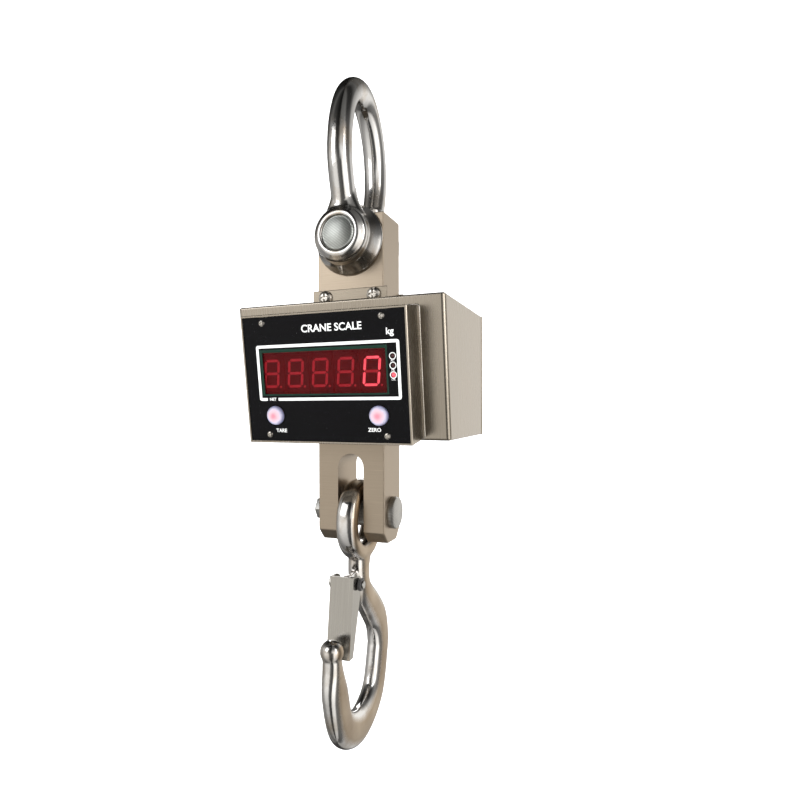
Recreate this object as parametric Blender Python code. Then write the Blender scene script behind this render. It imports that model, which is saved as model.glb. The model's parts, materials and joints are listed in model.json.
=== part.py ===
"""A hanging crane scale, modelled as the pieces that it comes apart into.

All sizes are in metres. X runs to the right as seen from the display side, Y to the rear and Z up.
The origin is the inside of the shackle's crown, where the scale hangs. The shackle's pin lies along Y,
the hook's pin lies along X, and the display face leans so that it looks slightly down.
"""

import math

import bmesh
import bpy
from mathutils import Vector

# ---- Clearances -------------------------------------------------------------------------------
REST_GAP = 0.0003  # between pieces that touch
PIN_CLEARANCE = 0.0004  # radial, round anything that turns or slides
SCREW_CLEARANCE = 0.0003  # radial, round a screw's shank
CUT_LEAD = 0.01  # how far a cutter reaches past what it cuts, at each end
SMALL_EDGE = 0.0006  # the softened edge of a small machined or folded piece
SHEET_WALL = 0.002  # stainless sheet of the enclosure

# ---- Screws: shank radius, shank length, head radius, head height --------------------------------
BRACKET_SCREW = (0.004, 0.016, 0.0085, 0.0046)
COVER_SCREW = (0.002, 0.012, 0.0038, 0.0024)
PANEL_SCREW = (0.002, 0.011, 0.0035, 0.0021)

# ---- Load cell bar: the column that carries the load -------------------------------------------
BAR_WIDTH = 0.082
BAR_DEPTH = 0.0544
BAR_TOP_Z = -0.138
BAR_EDGE = 0.0015
CLEVIS_SLOT = 0.032
CLEVIS_BELOW_PIN = 0.0335
CLEVIS_CHAMFER = 0.013
GAUGE_POCKET_RADIUS = 0.016
GAUGE_POCKET_DEPTH = 0.010
GAUGE_COVER_LAP = 0.0035
GAUGE_COVER_THICKNESS = 0.0015
GAUGE_BELOW_MIDDLE = 0.02  # of the enclosure

# ---- Shackle ----------------------------------------------------------------------------------
BOW_ROD_RADIUS = 0.014
BOW_WIDEST_Z = -0.072
BOW_FLARE = 0.012  # how far the bow swells outwards above its ears
EAR_GAP = 0.001
EAR_LENGTH = 0.034
EAR_ROOT_RADIUS = 0.041
EAR_RADIUS = 0.032
EAR_RIM_RADIUS = 0.026
LEG_INSET = 0.0148  # from an ear's inner face to its leg's centre
SHACKLE_PIN_RADIUS = 0.019
SHACKLE_PIN_Z = -0.1666
LEG_END_ABOVE_PIN = 0.0065  # over the pin's surface, inside the ear
PIN_CHAMFER = 0.001
SET_SCREW_RADIUS = 0.004
SET_SCREW_LENGTH = 0.010
SET_SCREW_SOCKET = 0.003

# ---- Enclosure --------------------------------------------------------------------------------
BOX_WIDTH = 0.2462
BOX_HEIGHT = 0.1512
BOX_TOP_Z = -0.2424
BOX_FRONT_TOP_Y = -0.0713
BOX_SLANT = math.radians(8.24)  # how far the display side leans, so that it faces slightly down
BOX_REAR_Y = 0.116
BOX_EDGE_RADIUS = 0.005  # of the folded upright edges
BOX_END_RADIUS = 0.003  # of the level edges
BAR_PASSAGE = 0.0006  # clearance round the bar where it passes through the enclosure
COVER_THICKNESS = 0.0024
GASKET_THICKNESS = 0.0015
GASKET_INSET = 0.003
COVER_EDGE = 0.0008
REAR_FLANGE = 0.014
COVER_SCREW_INSET = 0.0075

# ---- Display frame and panel, measured on the leaning face ---------------------------------------
FRAME_WIDTH = 0.1896
FRAME_TOP = 0.0115  # down the slope from the enclosure's top edge
FRAME_FOOT = 0.0025  # up the slope from the enclosure's bottom edge
FRAME_PROUD = 0.040
FRAME_WALL = 0.0021
PANEL_THICKNESS = 0.003
PANEL_RECESS = 0.001
PANEL_FIT = 0.0004
PANEL_SCREW_X = 0.0684
PANEL_SCREW_INSET = 0.0091  # from the frame's top and bottom edges
PANEL_POST_WIDTH = 0.012
PANEL_POST_REACH = 0.0145  # from the frame's outer edge
WINDOW_X = -0.0005
WINDOW_ABOVE_BUTTONS = 0.0456  # between their centres
WINDOW_SIZE = (0.1406, 0.0440)
WINDOW_FIT = 0.0003
DIGIT_COUNT = 5
DIGIT_PITCH = 0.0291
DIGIT_ROW_X = -0.0031
DIGIT_SIZE = (0.0286, 0.0450, 0.0105)
LED_X = 0.0777
LED_TOP_ABOVE_WINDOW = 0.0143  # the top lamp, from the window's centre
LED_PITCH = 0.00945
LED_COUNT = 3
LED_RADIUS = 0.0024
LED_DOME = 0.0015
BOARD_THICKNESS = 0.0016
DISPLAY_BOARD_SIZE = (0.172, 0.088)
DISPLAY_BOARD_BELOW_WINDOW = 0.0114  # between their centres
BOARD_POST_RADIUS = 0.0035
BOARD_POST_X = 0.045
BOARD_POST_FROM_WINDOW = 0.028
BUTTON_X = 0.060
BUTTON_ABOVE_FRAME_FOOT = 0.0301
BUTTON_RADIUS = 0.0102
BUTTON_DOME = 0.0045
BUTTON_RISE = 0.001  # from the panel's face to the foot of the dome
BUTTON_TRAVEL = 0.002
BUTTON_FLANGE = 0.0018
BUTTON_FLANGE_THICKNESS = 0.0015
SWITCH_SIDE = 0.012
FRONT_OPENING = (0.120, 0.070)

# ---- Angle brackets between the bar and the enclosure ---------------------------------------------
BRACKET_WIDTH = 0.092
BRACKET_HEIGHT = 0.0196
BRACKET_FOOT = 0.022
BRACKET_THICKNESS = 0.002
BRACKET_SCREW_X = 0.030
BRACKET_SCREW_UP = 0.0109

# ---- What the enclosure holds ---------------------------------------------------------------------
MAIN_BOARD_SIZE = (0.080, 0.085)
MAIN_BOARD_Y = 0.020
MAIN_BOARD_STANDOFF = 0.009
BOSS_RADIUS = 0.004
RADIO_SIZE = (0.030, 0.022, 0.004)
RADIO_X = 0.030
BATTERY_SIZE = (0.070, 0.047, 0.098)
BATTERY_BEHIND_BAR = 0.015
BATTERY_EDGE = 0.002
STRAP_WIDTH = 0.020
STRAP_THICKNESS = 0.0015
STRAP_FOOT = 0.014
GLAND_Z = -0.293
GLAND_BODY_RADIUS = 0.005
GLAND_NUT_RADIUS = 0.006
GLAND_FLANGE_RADIUS = 0.008
GLAND_FLANGE = 0.004
GLAND_REACH = 0.012
GLAND_NUT_CHAMFER = 0.002
GLAND_DEPTH = 0.007
GLAND_SEAT_DEPTH = 0.010
CABLE_RADIUS = 0.0022
CABLE_INTO_BAR = 0.004
CABLE_SAG = 0.010
SOCKET_X = -0.075
SOCKET_ABOVE_FLOOR = 0.0442
SOCKET_RADIUS = 0.008
SOCKET_FLANGE_RADIUS = 0.0115
SOCKET_FLANGE = 0.0025
SOCKET_DEPTH = 0.018
SOCKET_WELL_RADIUS = 0.003
SOCKET_WELL_DEPTH = 0.010
CAP_RADIUS = 0.0105
CAP_HEIGHT = 0.0055
CAP_CHAMFER = 0.0015

# ---- Hook and its pin -----------------------------------------------------------------------------
HOOK_PIN_Z = -0.4808
HOOK_PIN_RADIUS = 0.0175
HOOK_PIN_HEAD_RADIUS = 0.0185
HOOK_PIN_HEAD = 0.007
HOOK_PIN_HEAD_CHAMFER = 0.0015
HOOK_PIN_SHOULDER_INSET = 0.001  # inside the bar's face, so that the nut clamps
HOOK_PIN_THREAD_RADIUS = 0.008
HOOK_PIN_BEYOND_NUT = 0.0025
HOOK_NUT_FLATS = 0.0235
HOOK_NUT_HEIGHT = 0.009
WASHER_THICKNESS = 0.003
WASHER_LAP = 0.003
EYE_BORE_RADIUS = 0.028
EYE_RADIUS = 0.048
EYE_WIDTH = 0.025
EYE_EDGE = 0.004
EYE_ROOT_HALF_WIDTH = 0.0195
SLOT_HEADROOM = 0.011  # over the eye, at any angle of the hook
BOWL_DEPTH = 0.1771  # from the eye's centre to the bowl's centre
BOWL_OFFSET = -0.008  # the empty hook hangs with its bowl this far in front of the pin
BOWL_RADIUS = 0.044
TIP_RISE = 0.0475  # from the bowl's centre to the middle of the ball on the tip
HOOK_HALF_WIDTH = 0.020
HOOK_HALF_BOTTOM = 0.0205
HOOK_HALF_THICKNESS = 0.0115
TIP_BALL_RADIUS = 0.013
TIP_HALF = 0.0098  # the tip's half width and half thickness, inside the ball
NECK = (0.0015, 0.018, 0.0118, 0.0105)  # behind and below the ball, then half width and half thickness
# The back above the bowl: Y, height over the bowl's centre, half width.
HOOK_BACK = (
    (0.0575, 0.022, 0.0202),
    (0.050, 0.044, 0.0205),
    (0.030, 0.066, 0.0190),
    (0.002, 0.094, 0.0155),
    (-0.004, 0.118, 0.0150),
)
SECTION_POWER = 2.7  # 2 is an ellipse; more gives flatter sides

# ---- Safety latch -----------------------------------------------------------------------------------
LATCH_PIVOT_Y = -0.038
LATCH_PIVOT_BELOW_EYE = 0.0664
LATCH_HALF_WIDTH = 0.014
LATCH_SHEET = 0.002
LATCH_EAR_RADIUS = 0.009
LATCH_EAR_FLAT = 0.003  # in front of the pivot, where the ear's round starts
LATCH_TOP_Y = -0.052
LATCH_TOP_UP = 0.010
LATCH_TIP_Y = -0.0643
LATCH_LENGTH = 0.077
LATCH_TIP_FLANGE = 0.010
LUG_HALF_WIDTH = 0.0035
LUG_RADIUS = 0.0085
LUG_ROOT_Y = 0.004
BOLT_RADIUS = 0.004
BOLT_HEAD_FLATS = 0.013
BOLT_HEAD_HEIGHT = 0.006
BOLT_BEYOND_NUT = 0.002
LATCH_NUT_HEIGHT = 0.0045
SPRING_COIL_RADIUS = 0.0063
SPRING_WIRE_RADIUS = 0.0009
SPRING_TURNS = 3

# ---- Worked out from the sizes above --------------------------------------------------------------
BAR_BOTTOM_Z = HOOK_PIN_Z - CLEVIS_BELOW_PIN
EYE_Z = HOOK_PIN_Z + HOOK_PIN_RADIUS + REST_GAP - EYE_BORE_RADIUS
SLOT_TOP_Z = EYE_Z + EYE_RADIUS + 2 * (HOOK_PIN_Z - EYE_Z) + SLOT_HEADROOM
EAR_INNER_Y = BAR_DEPTH / 2 + EAR_GAP
EAR_OUTER_Y = EAR_INNER_Y + EAR_LENGTH
LEG_Y = EAR_INNER_Y + LEG_INSET
BOX_BOTTOM_Z = BOX_TOP_Z - BOX_HEIGHT
BOX_FRONT_BOTTOM_Y = BOX_FRONT_TOP_Y + BOX_HEIGHT * math.tan(BOX_SLANT)
SHELL_REAR_Y = BOX_REAR_Y - COVER_THICKNESS - GASKET_THICKNESS - 2 * REST_GAP
FRAME_BOTTOM = BOX_HEIGHT / math.cos(BOX_SLANT) - FRAME_FOOT
FRAME_HEIGHT = FRAME_BOTTOM - FRAME_TOP
BUTTON_Y = BUTTON_ABOVE_FRAME_FOOT - FRAME_BOTTOM
WINDOW_CENTRE = (WINDOW_X, BUTTON_Y + WINDOW_ABOVE_BUTTONS)
LED_TOP_Y = WINDOW_CENTRE[1] + LED_TOP_ABOVE_WINDOW
DISPLAY_BOARD_Y = WINDOW_CENTRE[1] - DISPLAY_BOARD_BELOW_WINDOW
BOARD_POST_Y = (WINDOW_CENTRE[1] + BOARD_POST_FROM_WINDOW, WINDOW_CENTRE[1] - BOARD_POST_FROM_WINDOW)
PANEL_FRONT = FRAME_PROUD - PANEL_RECESS
PANEL_BACK = PANEL_FRONT - PANEL_THICKNESS
MODULE_FRONT = PANEL_BACK - REST_GAP
BOARD_FRONT = MODULE_FRONT - DIGIT_SIZE[2] - REST_GAP
BOARD_BACK = BOARD_FRONT - BOARD_THICKNESS
BOWL_Z = EYE_Z - BOWL_DEPTH
LATCH_PIVOT_Z = EYE_Z - LATCH_PIVOT_BELOW_EYE
TIP_BALL_Y = BOWL_OFFSET - BOWL_RADIUS - 2 * HOOK_HALF_WIDTH + TIP_BALL_RADIUS
TIP_BALL_Z = BOWL_Z + TIP_RISE
BATTERY_FRONT_Y = BAR_DEPTH / 2 + BATTERY_BEHIND_BAR
FLOOR_Z = BOX_BOTTOM_Z + SHEET_WALL

# Turning a piece from its own axes to the world's.
ALONG_X = (0, math.pi / 2, 0)
ALONG_Y = (-math.pi / 2, 0, 0)
OUTLINE_IN_YZ = (math.pi / 2, 0, math.pi / 2)
OUTLINE_IN_XZ = (math.pi / 2, 0, 0)

FINISHES = {
    "steel_brushed": ((0.55, 0.51, 0.46), 0.32, 1.0),
    "steel_satin": ((0.50, 0.45, 0.39), 0.38, 1.0),
    "steel_polished": ((0.72, 0.71, 0.70), 0.12, 1.0),
    "steel_zinc": ((0.62, 0.66, 0.72), 0.30, 1.0),
    "steel_dark": ((0.12, 0.12, 0.13), 0.40, 0.9),
    "panel_black": ((0.012, 0.012, 0.014), 0.10, 0.0),
    "filter_red": ((0.10, 0.006, 0.008), 0.08, 0.0),
    "digit_plastic": ((0.08, 0.02, 0.02), 0.40, 0.0),
    "led_plastic": ((0.55, 0.03, 0.03), 0.25, 0.0),
    "board_green": ((0.02, 0.16, 0.06), 0.45, 0.0),
    "button_rubber": ((0.86, 0.62, 0.62), 0.45, 0.0),
    "plastic_dark": ((0.03, 0.03, 0.035), 0.50, 0.0),
    "rubber_black": ((0.015, 0.015, 0.015), 0.70, 0.0),
    "battery_case": ((0.10, 0.11, 0.13), 0.50, 0.0),
}


HOLES = {}  # each piece's holes, until drill_all cuts them


def clear_scene():
    """Remove every object that the scene starts with."""
    for item in list(bpy.data.objects):
        bpy.data.objects.remove(item)


def finish(name):
    """The material of this name, made the first time that it is asked for."""
    if name in bpy.data.materials:
        return bpy.data.materials[name]
    colour, roughness, metallic = FINISHES[name]
    made = bpy.data.materials.new(name)
    made.use_nodes = True
    shader = made.node_tree.nodes["Principled BSDF"]
    shader.inputs["Base Color"].default_value = (*colour, 1.0)
    shader.inputs["Roughness"].default_value = roughness
    shader.inputs["Metallic"].default_value = metallic
    return made


def pivot(name, location, parent=None, rotation=(0, 0, 0)):
    """An empty that pieces are parented to, such as a joint's axis or the leaning display face."""
    empty = bpy.data.objects.new(name, None)
    empty.location = location
    empty.rotation_euler = rotation
    empty.empty_display_size = 0.02
    bpy.context.scene.collection.objects.link(empty)
    attach(empty, parent)
    return empty


def attach(piece, parent):
    """Parent a piece without moving it: its location is given in the world's axes.

    A piece of the display face is the exception, and is placed in that face's own axes.
    """
    if parent is None:
        return
    bpy.context.view_layer.update()
    piece.parent = parent
    piece.matrix_parent_inverse = parent.matrix_world.inverted()


def on_face(piece, face):
    """Parent a piece to the leaning face, whose axes its location is given in."""
    piece.parent = face
    return piece


def make_object(name, shape, material, location=(0, 0, 0), rotation=(0, 0, 0), parent=None):
    """An object from a bmesh, which it frees."""
    bmesh.ops.recalc_face_normals(shape, faces=shape.faces)
    mesh = bpy.data.meshes.new(name)
    shape.to_mesh(mesh)
    shape.free()
    piece = bpy.data.objects.new(name, mesh)
    piece.location = location
    piece.rotation_euler = rotation
    if material:
        mesh.materials.append(finish(material))
    bpy.context.scene.collection.objects.link(piece)
    attach(piece, parent)
    return piece


def block(name, size, material, location=(0, 0, 0), rotation=(0, 0, 0), parent=None):
    """A block of this size, centred on its location."""
    shape = bmesh.new()
    bmesh.ops.create_cube(shape, size=1.0)
    bmesh.ops.scale(shape, vec=size, verts=shape.verts)
    return make_object(name, shape, material, location, rotation, parent)


def prism(name, outline, thickness, material, location=(0, 0, 0), rotation=(0, 0, 0), parent=None):
    """An outline drawn in the piece's own XY plane, extruded to both sides by half the thickness."""
    shape = bmesh.new()
    corners = [shape.verts.new((x, y, -thickness / 2)) for x, y in outline]
    bottom = shape.faces.new(corners)
    grown = bmesh.ops.extrude_face_region(shape, geom=[bottom])
    lifted = [item for item in grown["geom"] if isinstance(item, bmesh.types.BMVert)]
    bmesh.ops.translate(shape, verts=lifted, vec=(0, 0, thickness))
    return make_object(name, shape, material, location, rotation, parent)


def turned(
    name, profile, material, location=(0, 0, 0), rotation=(0, 0, 0), parent=None, steps=24, ring=False
):
    """A profile of (radius, height) points turned round the piece's own Z axis.

    The points run down the outer side. A ring's profile closes on itself; any other starts and ends on
    the axis.
    """
    shape = bmesh.new()
    points = [shape.verts.new((radius, 0, height)) for radius, height in profile]
    for first, second in zip(points, points[1:] + points[:1] if ring else points[1:]):
        shape.edges.new((first, second))
    piece = make_object(name, shape, material, location, rotation, parent)
    screw = piece.modifiers.new("turn", "SCREW")
    screw.steps = steps
    screw.render_steps = steps
    screw.use_merge_vertices = True
    screw.merge_threshold = 0.00001
    screw.use_smooth_shade = True
    return piece


def rod(
    name, radius, length, material, location=(0, 0, 0), rotation=(0, 0, 0), parent=None, steps=24, chamfer=0.0
):
    """A round rod centred on its location, along its own Z axis."""
    half = length / 2
    profile = [(0, half), (radius - chamfer, half), (radius, half - chamfer)]
    profile += [(radius, chamfer - half), (radius - chamfer, -half), (0, -half)]
    if not chamfer:
        profile = [(0, half), (radius, half), (radius, -half), (0, -half)]
    return turned(name, profile, material, location, rotation, parent, steps)


def tube_along(name, points, radius, material, parent=None, resolution=2, path_steps=1, handles=None):
    """A round tube along a curve: through points, or along a Bezier whose handles are given."""
    curve = bpy.data.curves.new(name, "CURVE")
    curve.dimensions = "3D"
    curve.bevel_depth = radius
    curve.bevel_resolution = resolution
    curve.use_fill_caps = True
    curve.resolution_u = path_steps
    spline = curve.splines.new("BEZIER" if handles else "POLY")
    if handles:
        spline.bezier_points.add(len(points) - 1)
        for knot, centre, (before, after) in zip(spline.bezier_points, points, handles):
            knot.handle_left_type = knot.handle_right_type = "FREE"
            knot.co, knot.handle_left, knot.handle_right = centre, before, after
    else:
        spline.points.add(len(points) - 1)
        for knot, centre in zip(spline.points, points):
            knot.co = (*centre, 1)
    guide = bpy.data.objects.new(name + "_guide", curve)
    bpy.context.scene.collection.objects.link(guide)
    bpy.context.view_layer.update()
    swept = guide.evaluated_get(bpy.context.evaluated_depsgraph_get())
    shape = bmesh.new()
    shape.from_mesh(bpy.data.meshes.new_from_object(swept))
    bmesh.ops.remove_doubles(shape, verts=shape.verts, dist=0.00001)
    bpy.data.objects.remove(guide)
    piece = make_object(name, shape, material, parent=parent)
    piece.data.shade_smooth()
    return piece


def boolean(piece, others, operation):
    """Cut other shapes out of a piece, or join them on, in one step. The others become hidden helpers."""
    helpers = bpy.data.collections.new(f"{operation.lower()}_{piece.name}")
    helpers.hide_render = True
    bpy.context.scene.collection.children.link(helpers)
    for other in others:
        helpers.objects.link(other)
        other.hide_render = True
        other.display_type = "WIRE"
    step = piece.modifiers.new(helpers.name, "BOOLEAN")
    step.operation = operation
    step.solver = "EXACT"
    step.operand_type = "COLLECTION"
    step.collection = helpers


def cut(piece, *cutters):
    """Take cutters out of a piece, before anything is joined to it."""
    boolean(piece, cutters, "DIFFERENCE")


def join(piece, *others):
    """Make other shapes part of a piece."""
    boolean(piece, others, "UNION")


def drill(piece, *holes):
    """Note holes that go through a finished piece. They are all cut together, by drill_all."""
    HOLES.setdefault(piece, []).extend(holes)


def drill_all():
    """Cut every noted hole, with one step for each piece."""
    for piece, holes in HOLES.items():
        boolean(piece, holes, "DIFFERENCE")


def soften(piece, width, segments=2):
    """Round the piece's edges."""
    bevel = piece.modifiers.new("soft_edges", "BEVEL")
    bevel.width = width
    bevel.segments = segments
    bevel.limit_method = "ANGLE"
    bevel.angle_limit = math.radians(40)


def soften_box(box, upright, level):
    """Round the upright and the level edges of a box that was drawn in its side view, each by its radius."""
    mesh = box.data
    weights = mesh.attributes.new("bevel_weight_edge", "FLOAT", "EDGE")
    for edge in mesh.edges:
        first, second = (mesh.vertices[corner].co for corner in edge.vertices)
        run = second - first
        is_upright = abs(run.y) > abs(run.x) + abs(run.z)
        weights.data[edge.index].value = 1.0 if is_upright else level / upright
    soften(box, upright, 4)
    box.modifiers["soft_edges"].limit_method = "WEIGHT"


def polygon(sides, flats, turn=0.0):
    """The corners of a regular polygon whose opposite sides are this far apart."""
    radius = flats / 2 / math.cos(math.pi / sides)
    angles = [turn + math.tau * (step + 0.5) / sides for step in range(sides)]
    return [(radius * math.cos(angle), radius * math.sin(angle)) for angle in angles]


def arc(centre, radius, start, end, steps):
    """Points along an arc, with its angles in degrees."""
    angles = [math.radians(start + (end - start) * step / steps) for step in range(steps + 1)]
    return [(centre[0] + radius * math.cos(angle), centre[1] + radius * math.sin(angle)) for angle in angles]


def pan_screw(name, sizes, location, rotation, parent, face=None):
    """A pan-head screw with a cross recess. Its own Z points out of the head, from the seat."""
    shank_radius, shank_length, head_radius, head_height = sizes
    profile = [
        (0, head_height),
        (head_radius * 0.55, head_height * 0.94),
        (head_radius * 0.9, head_height * 0.62),
        (head_radius, head_height * 0.25),
        (head_radius, 0),
        (shank_radius, 0),
        (shank_radius, 0.0005 - shank_length),
        (shank_radius - 0.0005, -shank_length),
        (0, -shank_length),
    ]
    place = {"location": location, "rotation": rotation, "parent": parent}
    screw = turned(name, profile, "steel_zinc", steps=16, **place)
    arm, width, depth = head_radius * 1.05, head_radius * 0.24, head_height * 0.55
    cross = [(width, width), (width, arm), (-width, arm), (-width, width), (-arm, width), (-arm, -width)]
    cross += [(-width, -width), (-width, -arm), (width, -arm), (width, -width), (arm, -width), (arm, width)]
    cross = [(x * 0.5, y * 0.5) for x, y in cross]
    recess = prism(name + "_recess", cross, 2 * depth, None, **place)
    for corner in recess.data.vertices:
        corner.co.z += head_height
    cut(screw, recess)
    if face:
        on_face(screw, face)
        on_face(recess, face)
    return screw


def screw_hole(name, sizes, location, rotation, parent, face=None):
    """The hole for a screw: from above the seat down to just past the end of the shank."""
    shank_radius, length = sizes[:2]
    radius = shank_radius + SCREW_CLEARANCE
    reach = length + SCREW_CLEARANCE
    hole = rod(name, radius, reach + CUT_LEAD, None, location, rotation, parent, steps=16)
    for corner in hole.data.vertices:
        corner.co.z += (CUT_LEAD - reach) / 2
    if face:
        on_face(hole, face)
    return hole


# ---- Shackle --------------------------------------------------------------------------------------
def make_shackle(parent):
    """The bow with its two ears, the pin through them, and the screws that hold the pin."""
    bow_y = LEG_Y + BOW_FLARE
    crown_z = BOW_ROD_RADIUS
    round_off = 0.5523  # the handle length that makes a Bezier quarter follow an ellipse
    shoulder_z = BOW_WIDEST_Z + round_off * (crown_z - BOW_WIDEST_Z)
    leg_end_z = SHACKLE_PIN_Z + SHACKLE_PIN_RADIUS + LEG_END_ABOVE_PIN
    run = BOW_WIDEST_Z - leg_end_z
    knots, handles = [], []
    for side in (-1, 1):
        leg = Vector((0, side * LEG_Y, leg_end_z))
        wide = Vector((0, side * bow_y, BOW_WIDEST_Z))
        above_leg = Vector((0, side * (LEG_Y + 0.2 * BOW_FLARE), leg_end_z + run * 0.35))
        below_wide = wide - Vector((0, 0, run * 0.4))
        above_wide = Vector((0, side * bow_y, shoulder_z))
        half = [(leg, (leg, above_leg)), (wide, (below_wide, above_wide))]
        if side > 0:
            half = [(knot, (after, before)) for knot, (before, after) in reversed(half)]
            crown = Vector((0, 0, crown_z))
            reach = Vector((0, round_off * bow_y, 0))
            knots.append(crown)
            handles.append((crown - reach, crown + reach))
        knots += [knot for knot, _ in half]
        handles += [pair for _, pair in half]
    bow = tube_along(
        "shackle_bow",
        knots,
        BOW_ROD_RADIUS,
        "steel_polished",
        parent,
        resolution=6,
        path_steps=9,
        handles=handles,
    )
    bore = SHACKLE_PIN_RADIUS + PIN_CLEARANCE
    length = EAR_LENGTH
    ear_profile = [
        (bore, length),
        (EAR_RIM_RADIUS - 0.001, length),
        (EAR_RIM_RADIUS, length - 0.001),
        (EAR_RADIUS - 0.002, length - 0.004),
        (EAR_RADIUS, length - 0.008),
        (EAR_RADIUS + 0.001, length * 0.5),
        (EAR_RADIUS + 0.004, length * 0.27),
        (EAR_ROOT_RADIUS - 0.001, length * 0.09),
        (EAR_ROOT_RADIUS, 0.001),
        (EAR_ROOT_RADIUS, 0),
        (bore, 0),
    ]
    screw_top = SHACKLE_PIN_Z - SHACKLE_PIN_RADIUS - REST_GAP
    ears = []
    for side, where in ((-1, "front"), (1, "rear")):
        ear = turned(
            f"shackle_ear_{where}",
            ear_profile,
            None,
            (0, side * EAR_INNER_Y, SHACKLE_PIN_Z),
            (-side * math.pi / 2, 0, 0),
            parent,
            steps=36,
            ring=True,
        )
        ears.append(ear)
        place = (0, side * LEG_Y, screw_top - SET_SCREW_LENGTH / 2)
        passage = rod(
            f"set_screw_passage_{where}",
            SET_SCREW_RADIUS + SCREW_CLEARANCE,
            EAR_ROOT_RADIUS,
            None,
            (0, side * LEG_Y, SHACKLE_PIN_Z - SHACKLE_PIN_RADIUS - EAR_ROOT_RADIUS / 2 + SET_SCREW_RADIUS),
            parent=parent,
            steps=12,
        )
        drill(bow, passage)
        screw = rod(
            f"pin_set_screw_{where}",
            SET_SCREW_RADIUS,
            SET_SCREW_LENGTH,
            "steel_dark",
            place,
            parent=parent,
            steps=12,
            chamfer=SMALL_EDGE,
        )
        socket = prism(
            f"set_screw_socket_{where}",
            polygon(6, SET_SCREW_RADIUS),
            2 * SET_SCREW_SOCKET,
            None,
            (0, side * LEG_Y, screw_top - SET_SCREW_LENGTH),
            parent=parent,
        )
        cut(screw, socket)
    join(bow, *ears)
    rod(
        "shackle_pin",
        SHACKLE_PIN_RADIUS,
        2 * EAR_OUTER_Y,
        "steel_satin",
        (0, 0, SHACKLE_PIN_Z),
        ALONG_Y,
        parent,
        steps=36,
        chamfer=PIN_CHAMFER,
    )


# ---- Load cell --------------------------------------------------------------------------------------
def make_load_cell(parent):
    """The solid bar that hangs from the shackle's pin and ends in the hook's clevis."""
    height = BAR_TOP_Z - BAR_BOTTOM_Z
    middle = (BAR_TOP_Z + BAR_BOTTOM_Z) / 2
    half_depth = BAR_DEPTH / 2
    side_view = [
        (half_depth - CLEVIS_CHAMFER, -height / 2),
        (half_depth, CLEVIS_CHAMFER - height / 2),
        (half_depth, height / 2),
        (-half_depth, height / 2),
        (-half_depth, CLEVIS_CHAMFER - height / 2),
        (CLEVIS_CHAMFER - half_depth, -height / 2),
    ]
    bar = prism("load_cell_bar", side_view, BAR_WIDTH, "steel_satin", (0, 0, middle), OUTLINE_IN_YZ, parent)
    soften(bar, BAR_EDGE)
    upper = rod(
        "shackle_pin_bore",
        SHACKLE_PIN_RADIUS + PIN_CLEARANCE,
        BAR_DEPTH + 2 * CUT_LEAD,
        None,
        (0, 0, SHACKLE_PIN_Z),
        ALONG_Y,
        parent,
        steps=36,
    )
    lower = rod(
        "hook_pin_bore",
        HOOK_PIN_RADIUS + PIN_CLEARANCE,
        BAR_WIDTH + 2 * CUT_LEAD,
        None,
        (0, 0, HOOK_PIN_Z),
        ALONG_X,
        parent,
        steps=32,
    )
    half_slot = CLEVIS_SLOT / 2
    foot = BAR_BOTTOM_Z - CUT_LEAD
    slot = [(-half_slot, foot), (half_slot, foot)] + arc((0, SLOT_TOP_Z - half_slot), half_slot, 0, 180, 12)
    slot_depth = BAR_DEPTH + 2 * CUT_LEAD
    slot_cutter = prism("clevis_slot", slot, slot_depth, None, rotation=OUTLINE_IN_XZ, parent=parent)
    drill(bar, upper, lower, slot_cutter)
    gauge_z = BOX_TOP_Z - BOX_HEIGHT / 2 - GAUGE_BELOW_MIDDLE
    for side, where in ((-1, "left"), (1, "right")):
        face_x = side * BAR_WIDTH / 2
        pocket = rod(
            f"gauge_pocket_{where}",
            GAUGE_POCKET_RADIUS,
            2 * GAUGE_POCKET_DEPTH,
            None,
            (face_x, 0, gauge_z),
            ALONG_X,
            parent,
        )
        drill(bar, pocket)
        rod(
            f"gauge_cover_{where}",
            GAUGE_POCKET_RADIUS + GAUGE_COVER_LAP,
            GAUGE_COVER_THICKNESS,
            "steel_zinc",
            (face_x + side * (REST_GAP + GAUGE_COVER_THICKNESS / 2), 0, gauge_z),
            ALONG_X,
            parent,
        )
    make_brackets(bar, parent)
    make_cell_cable(bar, parent)


def make_brackets(bar, parent):
    """An angle bracket in front of the bar and one behind it, each held by two pan-head screws."""
    seat_z = BOX_TOP_Z + REST_GAP
    for side, where in ((-1, "front"), (1, "rear")):
        near = side * (BAR_DEPTH / 2 + REST_GAP)
        outer = near + side * BRACKET_THICKNESS
        toe = near + side * BRACKET_FOOT
        angle = [
            (near, seat_z),
            (toe, seat_z),
            (toe, seat_z + BRACKET_THICKNESS),
            (outer, seat_z + BRACKET_THICKNESS),
            (outer, seat_z + BRACKET_HEIGHT),
            (near, seat_z + BRACKET_HEIGHT),
        ]
        name = f"angle_bracket_{where}"
        bracket = prism(name, angle, BRACKET_WIDTH, "steel_brushed", rotation=OUTLINE_IN_YZ, parent=parent)
        soften(bracket, SMALL_EDGE, 1)
        for across, hand in ((-1, "left"), (1, "right")):
            place = (across * BRACKET_SCREW_X, outer + side * REST_GAP, seat_z + BRACKET_SCREW_UP)
            turn = (-side * math.pi / 2, 0, 0)
            pan_screw(f"bracket_screw_{where}_{hand}", BRACKET_SCREW, place, turn, parent)
            hole = screw_hole(f"bracket_hole_{where}_{hand}", BRACKET_SCREW, place, turn, parent)
            drill(bracket, hole)
            drill(bar, hole)


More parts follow.
